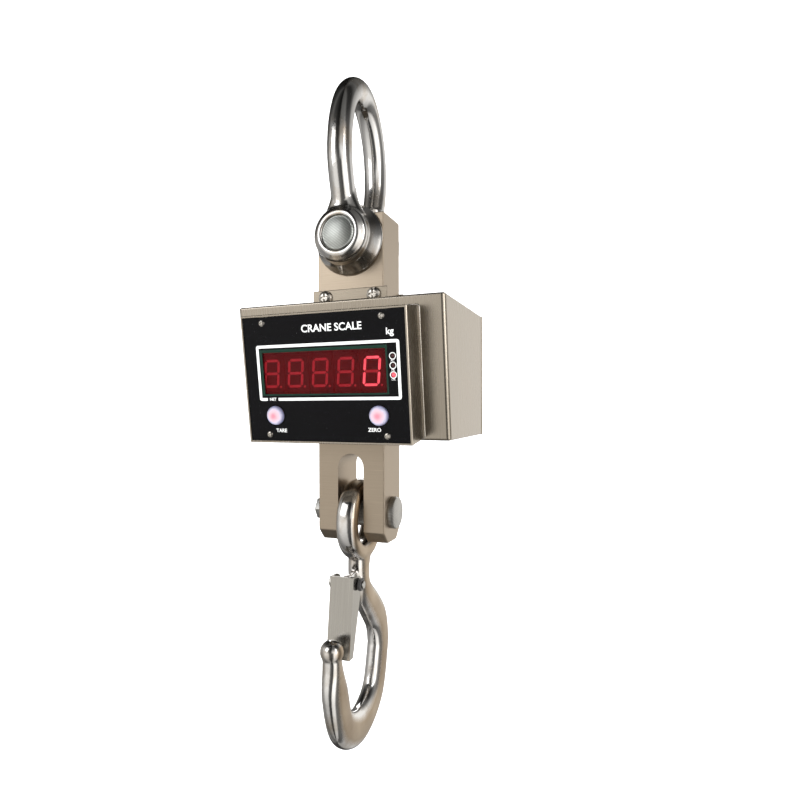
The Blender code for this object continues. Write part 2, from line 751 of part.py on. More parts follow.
def make_cell_cable(bar, parent):
    """The gland in the bar's left face and the short cable from the gauges to the main board."""
    face_x = -BAR_WIDTH / 2
    bore = CABLE_RADIUS + REST_GAP
    turned(
        "cell_cable_gland",
        [
            (bore, GLAND_REACH),
            (GLAND_BODY_RADIUS, GLAND_REACH),
            (GLAND_NUT_RADIUS, GLAND_REACH - GLAND_NUT_CHAMFER),
            (GLAND_NUT_RADIUS, GLAND_FLANGE),
            (GLAND_FLANGE_RADIUS, GLAND_FLANGE),
            (GLAND_FLANGE_RADIUS, 0),
            (GLAND_BODY_RADIUS, 0),
            (GLAND_BODY_RADIUS, -GLAND_DEPTH),
            (bore, -GLAND_DEPTH),
        ],
        "plastic_dark",
        (face_x - REST_GAP, 0, GLAND_Z),
        (0, -math.pi / 2, 0),
        parent,
        steps=18,
        ring=True,
    )
    seat = rod(
        "gland_seat",
        GLAND_BODY_RADIUS + REST_GAP,
        2 * GLAND_SEAT_DEPTH,
        None,
        (face_x, 0, GLAND_Z),
        ALONG_X,
        parent,
        steps=18,
    )
    drill(bar, seat)
    board_x = main_board_x() + BOARD_THICKNESS / 2 + 3 * REST_GAP
    start_x = face_x + CABLE_INTO_BAR
    count = 12
    route = []
    for step in range(count + 1):
        share = step / count
        ease = 0.0 if share < 0.3 else (share - 0.3) / 0.7
        dip = CABLE_SAG * math.sin(math.pi * ease) ** 2
        route.append((start_x + (board_x - start_x) * share, 0, GLAND_Z - dip))
    tube_along("cell_cable", route, CABLE_RADIUS, "rubber_black", parent, resolution=2)


# ---- Enclosure --------------------------------------------------------------------------------------
def side_outline(inset, rear_y):
    """The enclosure's side view as (Y, Z) corners, drawn in by a wall all round but the rear."""
    front_shift = inset / math.cos(BOX_SLANT)
    top, bottom = BOX_TOP_Z - inset, BOX_BOTTOM_Z + inset
    slope = math.tan(BOX_SLANT)
    return [
        (BOX_FRONT_TOP_Y + front_shift + inset * slope, top),
        (BOX_FRONT_BOTTOM_Y + front_shift - inset * slope, bottom),
        (rear_y, bottom),
        (rear_y, top),
    ]


def main_board_x():
    """Where the middle of the main board's thickness is."""
    return -BOX_WIDTH / 2 + SHEET_WALL + MAIN_BOARD_STANDOFF + REST_GAP + BOARD_THICKNESS / 2


def make_enclosure(parent, face):
    """The folded sheet box with its rear flange, and the cover, gasket and screws that close it."""
    inner_width = BOX_WIDTH - 2 * SHEET_WALL
    outline = side_outline(0, SHELL_REAR_Y)
    shell = prism("housing_shell", outline, BOX_WIDTH, "steel_brushed", rotation=OUTLINE_IN_YZ, parent=parent)
    soften_box(shell, BOX_EDGE_RADIUS, BOX_END_RADIUS)
    cavity = prism(
        "housing_cavity",
        side_outline(SHEET_WALL, SHELL_REAR_Y - SHEET_WALL),
        inner_width,
        None,
        rotation=OUTLINE_IN_YZ,
        parent=parent,
    )
    soften_box(cavity, BOX_EDGE_RADIUS - SHEET_WALL, BOX_END_RADIUS - SHEET_WALL)
    middle_z = (BOX_TOP_Z + BOX_BOTTOM_Z) / 2
    opening = (BOX_WIDTH - 2 * REAR_FLANGE, 2 * CUT_LEAD, BOX_HEIGHT - 2 * REAR_FLANGE)
    service = block("service_opening", opening, None, (0, SHELL_REAR_Y, middle_z), parent=parent)
    passage = block(
        "bar_passage",
        (BAR_WIDTH + 2 * BAR_PASSAGE, BAR_DEPTH + 2 * BAR_PASSAGE, BOX_HEIGHT + 2 * CUT_LEAD),
        None,
        (0, 0, middle_z),
        parent=parent,
    )
    wiring_size = (*FRONT_OPENING, 2 * CUT_LEAD)
    wiring = on_face(block("wiring_opening", wiring_size, None, (0, WINDOW_CENTRE[1], 0)), face)
    cut(shell, cavity, service, passage, wiring)
    make_main_board(shell, parent, middle_z)

    gasket_y = SHELL_REAR_Y + REST_GAP + GASKET_THICKNESS / 2
    gasket = block(
        "cover_gasket",
        (BOX_WIDTH - 2 * GASKET_INSET, GASKET_THICKNESS, BOX_HEIGHT - 2 * GASKET_INSET),
        "rubber_black",
        (0, gasket_y, middle_z),
        parent=parent,
    )
    drill(gasket, block("gasket_opening", opening, None, (0, gasket_y, middle_z), parent=parent))
    cover_y = BOX_REAR_Y - COVER_THICKNESS / 2
    cover_size = (BOX_WIDTH, COVER_THICKNESS, BOX_HEIGHT)
    cover = block("rear_cover", cover_size, "steel_brushed", (0, cover_y, middle_z), parent=parent)
    soften(cover, COVER_EDGE, 1)
    for across in (-1, 1):
        for up in (-1, 1):
            hand = ("left", "right")[across > 0] + ("_lower", "_upper")[up > 0]
            place = (
                across * (BOX_WIDTH / 2 - COVER_SCREW_INSET),
                BOX_REAR_Y + REST_GAP,
                middle_z + up * (BOX_HEIGHT / 2 - COVER_SCREW_INSET),
            )
            pan_screw(f"cover_screw_{hand}", COVER_SCREW, place, ALONG_Y, parent)
            hole = screw_hole(f"cover_hole_{hand}", COVER_SCREW, place, ALONG_Y, parent)
            for piece in (cover, gasket, shell):
                drill(piece, hole)
    make_charge_socket(cover, parent)


def make_charge_socket(cover, parent):
    """The charging socket in the rear cover, with the cap that closes it."""
    place = (SOCKET_X, BOX_REAR_Y + REST_GAP, FLOOR_Z + SOCKET_ABOVE_FLOOR)
    turned(
        "charge_socket",
        [
            (0, -SOCKET_WELL_DEPTH),
            (SOCKET_WELL_RADIUS, -SOCKET_WELL_DEPTH),
            (SOCKET_WELL_RADIUS, SOCKET_FLANGE),
            (SOCKET_FLANGE_RADIUS, SOCKET_FLANGE),
            (SOCKET_FLANGE_RADIUS, 0),
            (SOCKET_RADIUS, 0),
            (SOCKET_RADIUS, -SOCKET_DEPTH),
            (0, -SOCKET_DEPTH),
        ],
        "plastic_dark",
        place,
        ALONG_Y,
        parent,
        steps=20,
    )
    seat = rod("socket_seat", SOCKET_RADIUS + REST_GAP, 3 * CUT_LEAD, None, place, ALONG_Y, parent, steps=20)
    drill(cover, seat)
    turned(
        "charge_cap",
        [
            (0, CAP_HEIGHT),
            (CAP_RADIUS - CAP_CHAMFER, CAP_HEIGHT),
            (CAP_RADIUS, CAP_HEIGHT - CAP_CHAMFER),
            (CAP_RADIUS, 0),
            (0, 0),
        ],
        "rubber_black",
        (place[0], place[1] + SOCKET_FLANGE + REST_GAP, place[2]),
        ALONG_Y,
        parent,
        steps=20,
    )


def make_main_board(shell, parent, middle_z):
    """The main board on four bosses of the left wall."""
    wall_x = -BOX_WIDTH / 2 + SHEET_WALL
    board_x = main_board_x()
    width, height = MAIN_BOARD_SIZE
    board_size = (BOARD_THICKNESS, width, height)
    block("main_board", board_size, "board_green", (board_x, MAIN_BOARD_Y, middle_z), parent=parent)
    overlap = SHEET_WALL / 2
    length = MAIN_BOARD_STANDOFF + overlap
    bosses = []
    for along in (-1, 1):
        for up in (-1, 1):
            boss = rod(
                f"board_boss_{'fr'[along > 0]}{'lu'[up > 0]}",
                BOSS_RADIUS,
                length,
                None,
                (
                    wall_x - overlap + length / 2,
                    MAIN_BOARD_Y + along * (width / 2 - BOSS_RADIUS),
                    middle_z + up * (height / 2 - BOSS_RADIUS),
                ),
                ALONG_X,
                parent,
                steps=12,
            )
            bosses.append(boss)
    join(shell, *bosses)


def make_battery(parent):
    """The rechargeable battery behind the bar, and the strap that holds it to the floor."""
    width, depth, height = BATTERY_SIZE
    middle_y = BATTERY_FRONT_Y + depth / 2
    battery = block(
        "battery", BATTERY_SIZE, "battery_case", (0, middle_y, FLOOR_Z + REST_GAP + height / 2), parent=parent
    )
    soften(battery, BATTERY_EDGE)
    foot_z = FLOOR_Z + REST_GAP
    inner_x = width / 2 + REST_GAP
    outer_x = inner_x + STRAP_THICKNESS
    toe_x = outer_x + STRAP_FOOT
    under_z = foot_z + height + REST_GAP
    half = [
        (toe_x, foot_z),
        (toe_x, foot_z + STRAP_THICKNESS),
        (outer_x, foot_z + STRAP_THICKNESS),
        (outer_x, under_z + STRAP_THICKNESS),
    ]
    inside = [(inner_x, under_z), (inner_x, foot_z)]
    outline = half + [(-x, z) for x, z in reversed(half)] + [(-x, z) for x, z in reversed(inside)] + inside
    prism("battery_strap", outline, STRAP_WIDTH, "steel_zinc", (0, middle_y, 0), OUTLINE_IN_XZ, parent)


# ---- Display ----------------------------------------------------------------------------------------
def make_display(face, tare, zero):
    """The frame that stands proud of the leaning face, and everything that it holds."""
    middle_y = -(FRAME_TOP + FRAME_HEIGHT / 2)
    frame_depth = FRAME_PROUD - REST_GAP
    centre = (0, middle_y, REST_GAP + frame_depth / 2)
    frame_size = (FRAME_WIDTH, FRAME_HEIGHT, frame_depth)
    frame = on_face(block("front_frame", frame_size, "steel_brushed", centre), face)
    soften(frame, SMALL_EDGE, 1)
    well_size = (FRAME_WIDTH - 2 * FRAME_WALL, FRAME_HEIGHT - 2 * FRAME_WALL, FRAME_PROUD + 2 * CUT_LEAD)
    cut(frame, on_face(block("frame_well", well_size, None, centre), face))

    panel_size = (well_size[0] - 2 * PANEL_FIT, well_size[1] - 2 * PANEL_FIT, PANEL_THICKNESS)
    panel_z = (PANEL_FRONT + PANEL_BACK) / 2
    panel = on_face(block("panel_plate", panel_size, "panel_black", (0, middle_y, panel_z)), face)
    window_hole = (WINDOW_SIZE[0] + 2 * WINDOW_FIT, WINDOW_SIZE[1] + 2 * WINDOW_FIT, 2 * CUT_LEAD)
    drill(panel, on_face(block("window_opening", window_hole, None, (*WINDOW_CENTRE, panel_z)), face))
    make_panel_screws(frame, panel, face)

    filter_thickness = PANEL_THICKNESS - REST_GAP
    filter_z = PANEL_BACK + filter_thickness / 2
    filter_size = (*WINDOW_SIZE, filter_thickness)
    on_face(block("window_filter", filter_size, "filter_red", (*WINDOW_CENTRE, filter_z)), face)

    board_z = (BOARD_FRONT + BOARD_BACK) / 2
    board_size = (*DISPLAY_BOARD_SIZE, BOARD_THICKNESS)
    on_face(block("display_board", board_size, "board_green", (0, DISPLAY_BOARD_Y, board_z)), face)
    post_top = PANEL_BACK + PANEL_THICKNESS / 2
    post_foot = BOARD_FRONT + REST_GAP
    posts = []
    for across in (-1, 1):
        for row, post_y in enumerate(BOARD_POST_Y):
            post = rod(
                f"board_post_{'lr'[across > 0]}{row}",
                BOARD_POST_RADIUS,
                post_top - post_foot,
                None,
                (across * BOARD_POST_X, post_y, (post_top + post_foot) / 2),
                steps=12,
            )
            posts.append(on_face(post, face))
    join(panel, *posts)
    make_digits(face)
    make_indicators(panel, face)
    radio_z = BOARD_BACK - REST_GAP - RADIO_SIZE[2] / 2
    on_face(block("radio_module", RADIO_SIZE, "plastic_dark", (RADIO_X, DISPLAY_BOARD_Y, radio_z)), face)
    make_button("tare", -BUTTON_X, panel, face, tare)
    make_button("zero", BUTTON_X, panel, face, zero)


def make_panel_screws(frame, panel, face):
    """Four posts in the frame, and the screws that hold the panel to them."""
    outer_top, outer_bottom = -FRAME_TOP, -FRAME_BOTTOM
    post_front = PANEL_BACK - REST_GAP
    post_depth = post_front - BOARD_FRONT - REST_GAP
    posts = []
    for across, hand in ((-1, "left"), (1, "right")):
        for edge_y, inward, where in ((outer_top, -1, "upper"), (outer_bottom, 1, "lower")):
            start = edge_y + inward * FRAME_WALL / 2
            end = edge_y + inward * PANEL_POST_REACH
            post = block(
                f"panel_post_{hand}_{where}",
                (PANEL_POST_WIDTH, abs(end - start), post_depth),
                None,
                (across * PANEL_SCREW_X, (start + end) / 2, post_front - post_depth / 2),
            )
            posts.append(on_face(post, face))
            place = (across * PANEL_SCREW_X, edge_y + inward * PANEL_SCREW_INSET, PANEL_FRONT + REST_GAP)
            name = f"{hand}_{where}"
            pan_screw(f"panel_screw_{name}", PANEL_SCREW, place, (0, 0, 0), None, face)
            hole = screw_hole(f"panel_hole_{name}", PANEL_SCREW, place, (0, 0, 0), None, face)
            drill(panel, hole)
            drill(frame, hole)
    join(frame, *posts)


def make_digits(face):
    """A row of seven-segment modules just behind the window."""
    first_x = DIGIT_ROW_X - DIGIT_PITCH * (DIGIT_COUNT - 1) / 2
    for index in range(DIGIT_COUNT):
        centre = (first_x + index * DIGIT_PITCH, WINDOW_CENTRE[1], MODULE_FRONT - DIGIT_SIZE[2] / 2)
        on_face(block(f"digit_module_{index + 1}", DIGIT_SIZE, "digit_plastic", centre), face)


def make_indicators(panel, face):
    """Three small round lamps in a column beside the window, through holes in the panel."""
    top = PANEL_FRONT - REST_GAP
    foot = BOARD_FRONT + REST_GAP
    for index in range(LED_COUNT):
        centre_y = LED_TOP_Y - index * LED_PITCH
        lamp_profile = [
            (0, top),
            (LED_RADIUS * 0.6, top - LED_DOME * 0.2),
            (LED_RADIUS, top - LED_DOME),
            (LED_RADIUS, foot),
            (0, foot),
        ]
        name, place = f"indicator_led_{index + 1}", (LED_X, centre_y, 0)
        on_face(turned(name, lamp_profile, "led_plastic", place, steps=12), face)
        name, place = f"led_hole_{index + 1}", (LED_X, centre_y, PANEL_BACK)
        hole = rod(name, LED_RADIUS + REST_GAP, 2 * CUT_LEAD, None, place, steps=16)
        drill(panel, on_face(hole, face))


def make_button(name, across, panel, face, pivot_empty):
    """A domed button that slides into the panel, with the switch that it presses."""
    under = PANEL_BACK - REST_GAP - BUTTON_FLANGE_THICKNESS
    flange_radius = BUTTON_RADIUS + BUTTON_FLANGE
    rise = PANEL_FRONT + BUTTON_RISE
    dome = []
    for step in range(7):
        angle = math.radians(90 - 90 * step / 6)
        dome.append((BUTTON_RADIUS * math.cos(angle), rise + BUTTON_DOME * math.sin(angle)))
    profile = dome + [
        (BUTTON_RADIUS, PANEL_BACK - REST_GAP),
        (flange_radius, PANEL_BACK - REST_GAP),
        (flange_radius, under),
        (0, under),
    ]
    profile = [(radius, height - PANEL_FRONT) for radius, height in profile]
    turned(f"{name}_button", profile, "button_rubber", (0, 0, 0), steps=28).parent = pivot_empty
    place = (across, BUTTON_Y, PANEL_FRONT)
    hole = rod(f"{name}_button_hole", BUTTON_RADIUS + PIN_CLEARANCE, 2 * CUT_LEAD, None, place, steps=28)
    drill(panel, on_face(hole, face))
    switch_foot = BOARD_FRONT + REST_GAP
    switch_top = under - BUTTON_TRAVEL - REST_GAP
    switch_size = (SWITCH_SIDE, SWITCH_SIDE, switch_top - switch_foot)
    centre = (across, BUTTON_Y, (switch_top + switch_foot) / 2)
    on_face(block(f"{name}_switch", switch_size, "plastic_dark", centre), face)


# ---- Hook -------------------------------------------------------------------------------------------
def make_hook_pin(parent):
    """The headed pin through the clevis, with its washer and nut on the left."""
    half = BAR_WIDTH / 2
    head_start = half + REST_GAP
    washer_start = half + REST_GAP
    nut_start = washer_start + WASHER_THICKNESS + REST_GAP
    end = nut_start + HOOK_NUT_HEIGHT + HOOK_PIN_BEYOND_NUT
    shoulder = half - HOOK_PIN_SHOULDER_INSET
    head_end = head_start + HOOK_PIN_HEAD
    profile = [
        (0, head_end),
        (HOOK_PIN_HEAD_RADIUS - HOOK_PIN_HEAD_CHAMFER, head_end),
        (HOOK_PIN_HEAD_RADIUS, head_end - HOOK_PIN_HEAD_CHAMFER),
        (HOOK_PIN_HEAD_RADIUS, head_start),
        (HOOK_PIN_RADIUS, head_start),
        (HOOK_PIN_RADIUS, -shoulder),
        (HOOK_PIN_THREAD_RADIUS, -shoulder),
        (HOOK_PIN_THREAD_RADIUS, PIN_CHAMFER - end),
        (HOOK_PIN_THREAD_RADIUS - PIN_CHAMFER, -end),
        (0, -end),
    ]
    turned("hook_pin", profile, "steel_satin", (0, 0, HOOK_PIN_Z), ALONG_X, parent, steps=32)
    inner = HOOK_PIN_THREAD_RADIUS + SCREW_CLEARANCE
    washer_radius = HOOK_PIN_RADIUS + WASHER_LAP
    top, foot = -washer_start, -washer_start - WASHER_THICKNESS
    turned(
        "hook_pin_washer",
        [(inner, top), (washer_radius, top), (washer_radius, foot), (inner, foot)],
        "steel_zinc",
        (0, 0, HOOK_PIN_Z),
        ALONG_X,
        parent,
        steps=24,
        ring=True,
    )
    nut_place = (-nut_start - HOOK_NUT_HEIGHT / 2, 0, HOOK_PIN_Z)
    hex_nut("hook_pin_nut", HOOK_NUT_FLATS, HOOK_NUT_HEIGHT, inner, nut_place, parent)


def hex_nut(name, flats, height, bore, place, parent):
    """A hexagon nut along X, chamfered, with its bore."""
    nut = prism(name, polygon(6, flats), height, "steel_zinc", place, ALONG_X, parent)
    soften(nut, SMALL_EDGE, 1)
    cut(nut, rod(name + "_bore", bore, height + CUT_LEAD, None, place, ALONG_X, parent, steps=18))


def through(stations, per_span):
    """Values on a smooth curve through these stations, with a Catmull-Rom span between each two."""
    padded = [stations[0], *stations, stations[-1]]
    found = []
    for before, start, end, after in zip(padded, padded[1:], padded[2:], padded[3:]):
        for step in range(per_span):
            t = step / per_span
            weights = (
                (-t + 2 * t * t - t**3) / 2,
                (2 - 5 * t * t + 3 * t**3) / 2,
                (t + 4 * t * t - 3 * t**3) / 2,
                (t**3 - t * t) / 2,
            )
            four = zip(before, start, end, after)
            found.append(tuple(sum(w * v for w, v in zip(weights, values)) for values in four))
    found.append(tuple(stations[-1]))
    return found


def hook_stations():
    """The hook's middle line from its tip to its eye: (Y, Z, half width, half thickness)."""
    thick = HOOK_HALF_THICKNESS
    behind, below, *neck = NECK
    stations = [
        (TIP_BALL_Y, TIP_BALL_Z, TIP_HALF, TIP_HALF),
        (TIP_BALL_Y + behind, TIP_BALL_Z - below, *neck),
    ]
    swell = (HOOK_HALF_WIDTH + HOOK_HALF_BOTTOM) / 2
    half_widths = (HOOK_HALF_WIDTH, swell, HOOK_HALF_BOTTOM, swell, HOOK_HALF_WIDTH)
    for degrees, half_width in zip(range(180, 361, 45), half_widths):
        reach = BOWL_RADIUS + half_width
        angle = math.radians(degrees)
        stations.append(
            (BOWL_OFFSET + reach * math.cos(angle), BOWL_Z + reach * math.sin(angle), half_width, thick)
        )
    stations += [(y, BOWL_Z + up, half_width, thick) for y, up, half_width in HOOK_BACK]
    stations.append((0, EYE_Z - (EYE_BORE_RADIUS + EYE_RADIUS) / 2, EYE_ROOT_HALF_WIDTH, thick))
    return stations


def make_hook(parent):
    """The forged hook: a swept body that swells at its bowl, a ball on the tip and an eye for the pin."""
    sections = through(hook_stations(), 4)
    shape = bmesh.new()
    rings = []
    count = 16
    for index, (y, z, half_width, half_thickness) in enumerate(sections):
        before = sections[max(index - 1, 0)]
        after = sections[min(index + 1, len(sections) - 1)]
        along = Vector((0, after[0] - before[0], after[1] - before[1])).normalized()
        outward = Vector((0, along.z, -along.y))
        ring = []
        for step in range(count):
            angle = math.tau * (step + 0.5) / count
            across = math.copysign(abs(math.cos(angle)) ** (2 / SECTION_POWER), math.cos(angle))
            sideways = math.copysign(abs(math.sin(angle)) ** (2 / SECTION_POWER), math.sin(angle))
            spot = Vector((half_thickness * sideways, y, z)) + outward * (half_width * across)
            ring.append(shape.verts.new(spot))
        rings.append(ring)
    for lower, upper in zip(rings, rings[1:]):
        for step in range(count):
            following = (step + 1) % count
            shape.faces.new((lower[step], lower[following], upper[following], upper[step]))
    shape.faces.new(rings[0])
    shape.faces.new(rings[-1])
    hook = make_object("hook", shape, "steel_polished", parent=parent)
    hook.data.shade_smooth()

    half = EYE_WIDTH / 2
    soft = EYE_EDGE
    eye_profile = [
        (EYE_BORE_RADIUS + soft, half),
        (EYE_RADIUS - soft * 1.2, half),
        (EYE_RADIUS - soft * 0.3, half - soft * 0.6),
        (EYE_RADIUS, half - 2 * soft),
        (EYE_RADIUS, 2 * soft - half),
        (EYE_RADIUS - soft * 0.3, soft * 0.6 - half),
        (EYE_RADIUS - soft * 1.2, -half),
        (EYE_BORE_RADIUS + soft, -half),
        (EYE_BORE_RADIUS, soft - half),
        (EYE_BORE_RADIUS, half - soft),
    ]
    eye = turned("hook_eye", eye_profile, None, (0, 0, EYE_Z), ALONG_X, parent, steps=40, ring=True)
    ball_shape = bmesh.new()
    bmesh.ops.create_uvsphere(ball_shape, u_segments=20, v_segments=12, radius=TIP_BALL_RADIUS)
    ball = make_object("hook_tip_ball", ball_shape, None, (0, TIP_BALL_Y, TIP_BALL_Z), parent=parent)
    lug = arc((LATCH_PIVOT_Y, LATCH_PIVOT_Z), LUG_RADIUS, 90, 270, 10)
    lug += [(LUG_ROOT_Y, LATCH_PIVOT_Z - LUG_RADIUS), (LUG_ROOT_Y, LATCH_PIVOT_Z + LUG_RADIUS)]
    lug_rib = prism("latch_lug", lug, 2 * LUG_HALF_WIDTH, None, rotation=OUTLINE_IN_YZ, parent=parent)
    join(hook, eye, ball, lug_rib)
    bore = rod(
        "latch_bolt_bore",
        BOLT_RADIUS + PIN_CLEARANCE,
        2 * (LATCH_HALF_WIDTH + CUT_LEAD),
        None,
        (0, LATCH_PIVOT_Y, LATCH_PIVOT_Z),
        ALONG_X,
        parent,
        steps=16,
    )
    drill(hook, bore)
    make_latch_bolt(parent)


def make_latch_bolt(parent):
    """The bolt that the latch turns on, its nut, and the coil spring round it."""
    seat = LATCH_HALF_WIDTH + REST_GAP
    place = (0, LATCH_PIVOT_Y, LATCH_PIVOT_Z)
    end = seat + LATCH_NUT_HEIGHT + BOLT_BEYOND_NUT
    head_end = seat + BOLT_HEAD_HEIGHT
    shank = rod("latch_bolt", BOLT_RADIUS, 2 * end, "steel_zinc", place, ALONG_X, parent, steps=16)
    head = prism(
        "latch_bolt_head",
        polygon(6, BOLT_HEAD_FLATS),
        BOLT_HEAD_HEIGHT,
        None,
        (-(seat + head_end) / 2, LATCH_PIVOT_Y, LATCH_PIVOT_Z),
        ALONG_X,
        parent,
    )
    soften(head, SMALL_EDGE, 1)
    join(shank, head)
    nut_place = (seat + REST_GAP + LATCH_NUT_HEIGHT / 2, LATCH_PIVOT_Y, LATCH_PIVOT_Z)
    bore = BOLT_RADIUS + SCREW_CLEARANCE
    hex_nut("latch_nut", BOLT_HEAD_FLATS, LATCH_NUT_HEIGHT, bore, nut_place, parent)
    inside = LATCH_HALF_WIDTH - LATCH_SHEET - REST_GAP - SPRING_WIRE_RADIUS
    start = LUG_HALF_WIDTH + REST_GAP + SPRING_WIRE_RADIUS
    per_turn = 12
    total = SPRING_TURNS * per_turn
    coil = []
    for step in range(total + 1):
        angle = math.tau * step / per_turn
        coil.append(
            (
                start + (inside - start) * step / total,
                LATCH_PIVOT_Y + SPRING_COIL_RADIUS * math.cos(angle),
                LATCH_PIVOT_Z + SPRING_COIL_RADIUS * math.sin(angle),
            )
        )
    tube_along("latch_spring", coil, SPRING_WIRE_RADIUS, "steel_dark", parent, resolution=1)


def make_latch(parent):
    """The sheet latch: a web that closes the hook's mouth, with a flange down each side."""
    foot_z = LATCH_PIVOT_Z - LATCH_LENGTH
    top_z = LATCH_PIVOT_Z + LATCH_TOP_UP
    back = arc((LATCH_PIVOT_Y, LATCH_PIVOT_Z), LATCH_EAR_RADIUS, 90, -20, 8)
    outline = [(LATCH_TOP_Y, top_z), (LATCH_PIVOT_Y - LATCH_EAR_FLAT, top_z), *back[1:]]
    outline += [(LATCH_TIP_Y + LATCH_TIP_FLANGE, foot_z), (LATCH_TIP_Y, foot_z)]
    width = 2 * LATCH_HALF_WIDTH
    latch = prism("safety_latch", outline, width, "steel_zinc", rotation=OUTLINE_IN_YZ, parent=parent)
    over = CUT_LEAD
    reach = 5 * over
    slope = (LATCH_TOP_Y - LATCH_TIP_Y) / (top_z - foot_z)
    channel = [
        (LATCH_TOP_Y + LATCH_SHEET + over * slope, top_z + over),
        (LATCH_TIP_Y + LATCH_SHEET - over * slope, foot_z - over),
        (LATCH_TIP_Y + reach, foot_z - over),
        (LATCH_TOP_Y + reach, top_z + over),
    ]
    inner_width = width - 2 * LATCH_SHEET
    hollow = prism("latch_channel", channel, inner_width, None, rotation=OUTLINE_IN_YZ, parent=parent)
    bore = rod(
        "latch_pivot_bore",
        BOLT_RADIUS + PIN_CLEARANCE,
        2 * (LATCH_HALF_WIDTH + CUT_LEAD),
        None,
        (0, LATCH_PIVOT_Y, LATCH_PIVOT_Z),
        ALONG_X,
        parent,
        steps=16,
    )
    cut(latch, hollow, bore)


def main():
    clear_scene()
    shackle = pivot("shackle_hang_point", (0, 0, 0))
    scale = pivot("scale_swing_axis", (0, 0, SHACKLE_PIN_Z), shackle)
    face = pivot("display_face", (0, BOX_FRONT_TOP_Y, BOX_TOP_Z), scale, (math.pi / 2 + BOX_SLANT, 0, 0))
    tare = pivot("tare_button_axis", (-BUTTON_X, BUTTON_Y, PANEL_FRONT))
    zero = pivot("zero_button_axis", (BUTTON_X, BUTTON_Y, PANEL_FRONT))
    for button in (tare, zero):
        on_face(button, face)
    hook = pivot("hook_swing_axis", (0, 0, HOOK_PIN_Z), scale)
    latch = pivot("latch_axis", (0, LATCH_PIVOT_Y, LATCH_PIVOT_Z), hook)
    make_shackle(shackle)
    make_load_cell(scale)
    make_enclosure(scale, face)
    make_battery(scale)
    make_display(face, tare, zero)
    make_hook_pin(scale)
    make_hook(hook)
    make_latch(latch)
    drill_all()


main()
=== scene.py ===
"""The looks of a hanging crane scale: finer surfaces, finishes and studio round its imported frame.

All sizes are in metres. X runs to the right as seen from the display side, Y to the rear and Z up.
Places come from the frame's boxes and joints, so this script fits whatever size was packed.
"""

import json
import logging
import math
from dataclasses import dataclass, field
from enum import Enum
from typing import Any, Optional, Sequence, Union

import bmesh
import bpy
import numpy as np
from mathutils import Matrix, Vector

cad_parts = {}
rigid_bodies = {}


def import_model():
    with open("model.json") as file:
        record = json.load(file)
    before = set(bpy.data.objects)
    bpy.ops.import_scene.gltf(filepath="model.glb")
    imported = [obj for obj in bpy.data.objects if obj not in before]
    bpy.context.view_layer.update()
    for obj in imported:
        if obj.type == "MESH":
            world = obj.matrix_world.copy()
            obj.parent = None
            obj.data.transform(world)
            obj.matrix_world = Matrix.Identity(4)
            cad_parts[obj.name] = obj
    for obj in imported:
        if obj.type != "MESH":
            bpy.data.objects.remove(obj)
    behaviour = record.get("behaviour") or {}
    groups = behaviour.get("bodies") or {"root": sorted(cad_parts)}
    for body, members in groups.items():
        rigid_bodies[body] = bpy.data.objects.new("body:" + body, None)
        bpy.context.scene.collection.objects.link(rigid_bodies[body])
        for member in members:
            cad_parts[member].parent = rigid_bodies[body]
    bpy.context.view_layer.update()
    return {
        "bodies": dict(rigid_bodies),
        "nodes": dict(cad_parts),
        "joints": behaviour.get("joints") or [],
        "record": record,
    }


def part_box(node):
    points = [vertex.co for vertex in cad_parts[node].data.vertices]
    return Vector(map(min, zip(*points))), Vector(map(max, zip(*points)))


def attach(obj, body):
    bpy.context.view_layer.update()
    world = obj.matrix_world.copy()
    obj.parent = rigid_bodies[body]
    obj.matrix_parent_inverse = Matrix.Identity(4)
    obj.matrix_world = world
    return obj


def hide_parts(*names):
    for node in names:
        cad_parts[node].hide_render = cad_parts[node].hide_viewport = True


LOG = logging.getLogger("crane_scale")
PRINT_HEIGHT = 0.00008  # how far printed marks stand on the panel
Colour = tuple[float, float, float]
Number = Union[float, "Value"]
Axes = Sequence[float]
Given = Optional[dict[Any, Any]]

QUARTER_HANDLE = 0.5523  # how long a Bezier handle is for a quarter of a circle of radius 1
CORNER_SHARE = 0.45  # how much of a side a rounded corner may take up
SHARP_ANGLE = math.radians(38)  # new surfaces keep edges that turn more than this sharp,
CAD_SHARP_ANGLE = math.radians(34)  # and refined pieces those that turn more than this
FLAT_ANGLE = math.radians(0.6)  # faces that turn less than this are one flat face
FORGING_VOXEL = 0.0011
TYPE_SIZE = 1.38  # the font's size for capitals 1 high
X_AXIS = np.array((1.0, 0.0, 0.0))
ASLANT = (0.3, 0.5, 0.81)  # a direction that nothing here is turned about


class Grain(Enum):
    """Which way a brushed finish runs, as how quickly its pattern changes along X, Y and Z."""

    UPRIGHT = (1.0, 1.0, 0.012)
    LEVEL = (0.012, 1.0, 1.0)
    DEPTHWISE = (1.0, 0.012, 1.0)


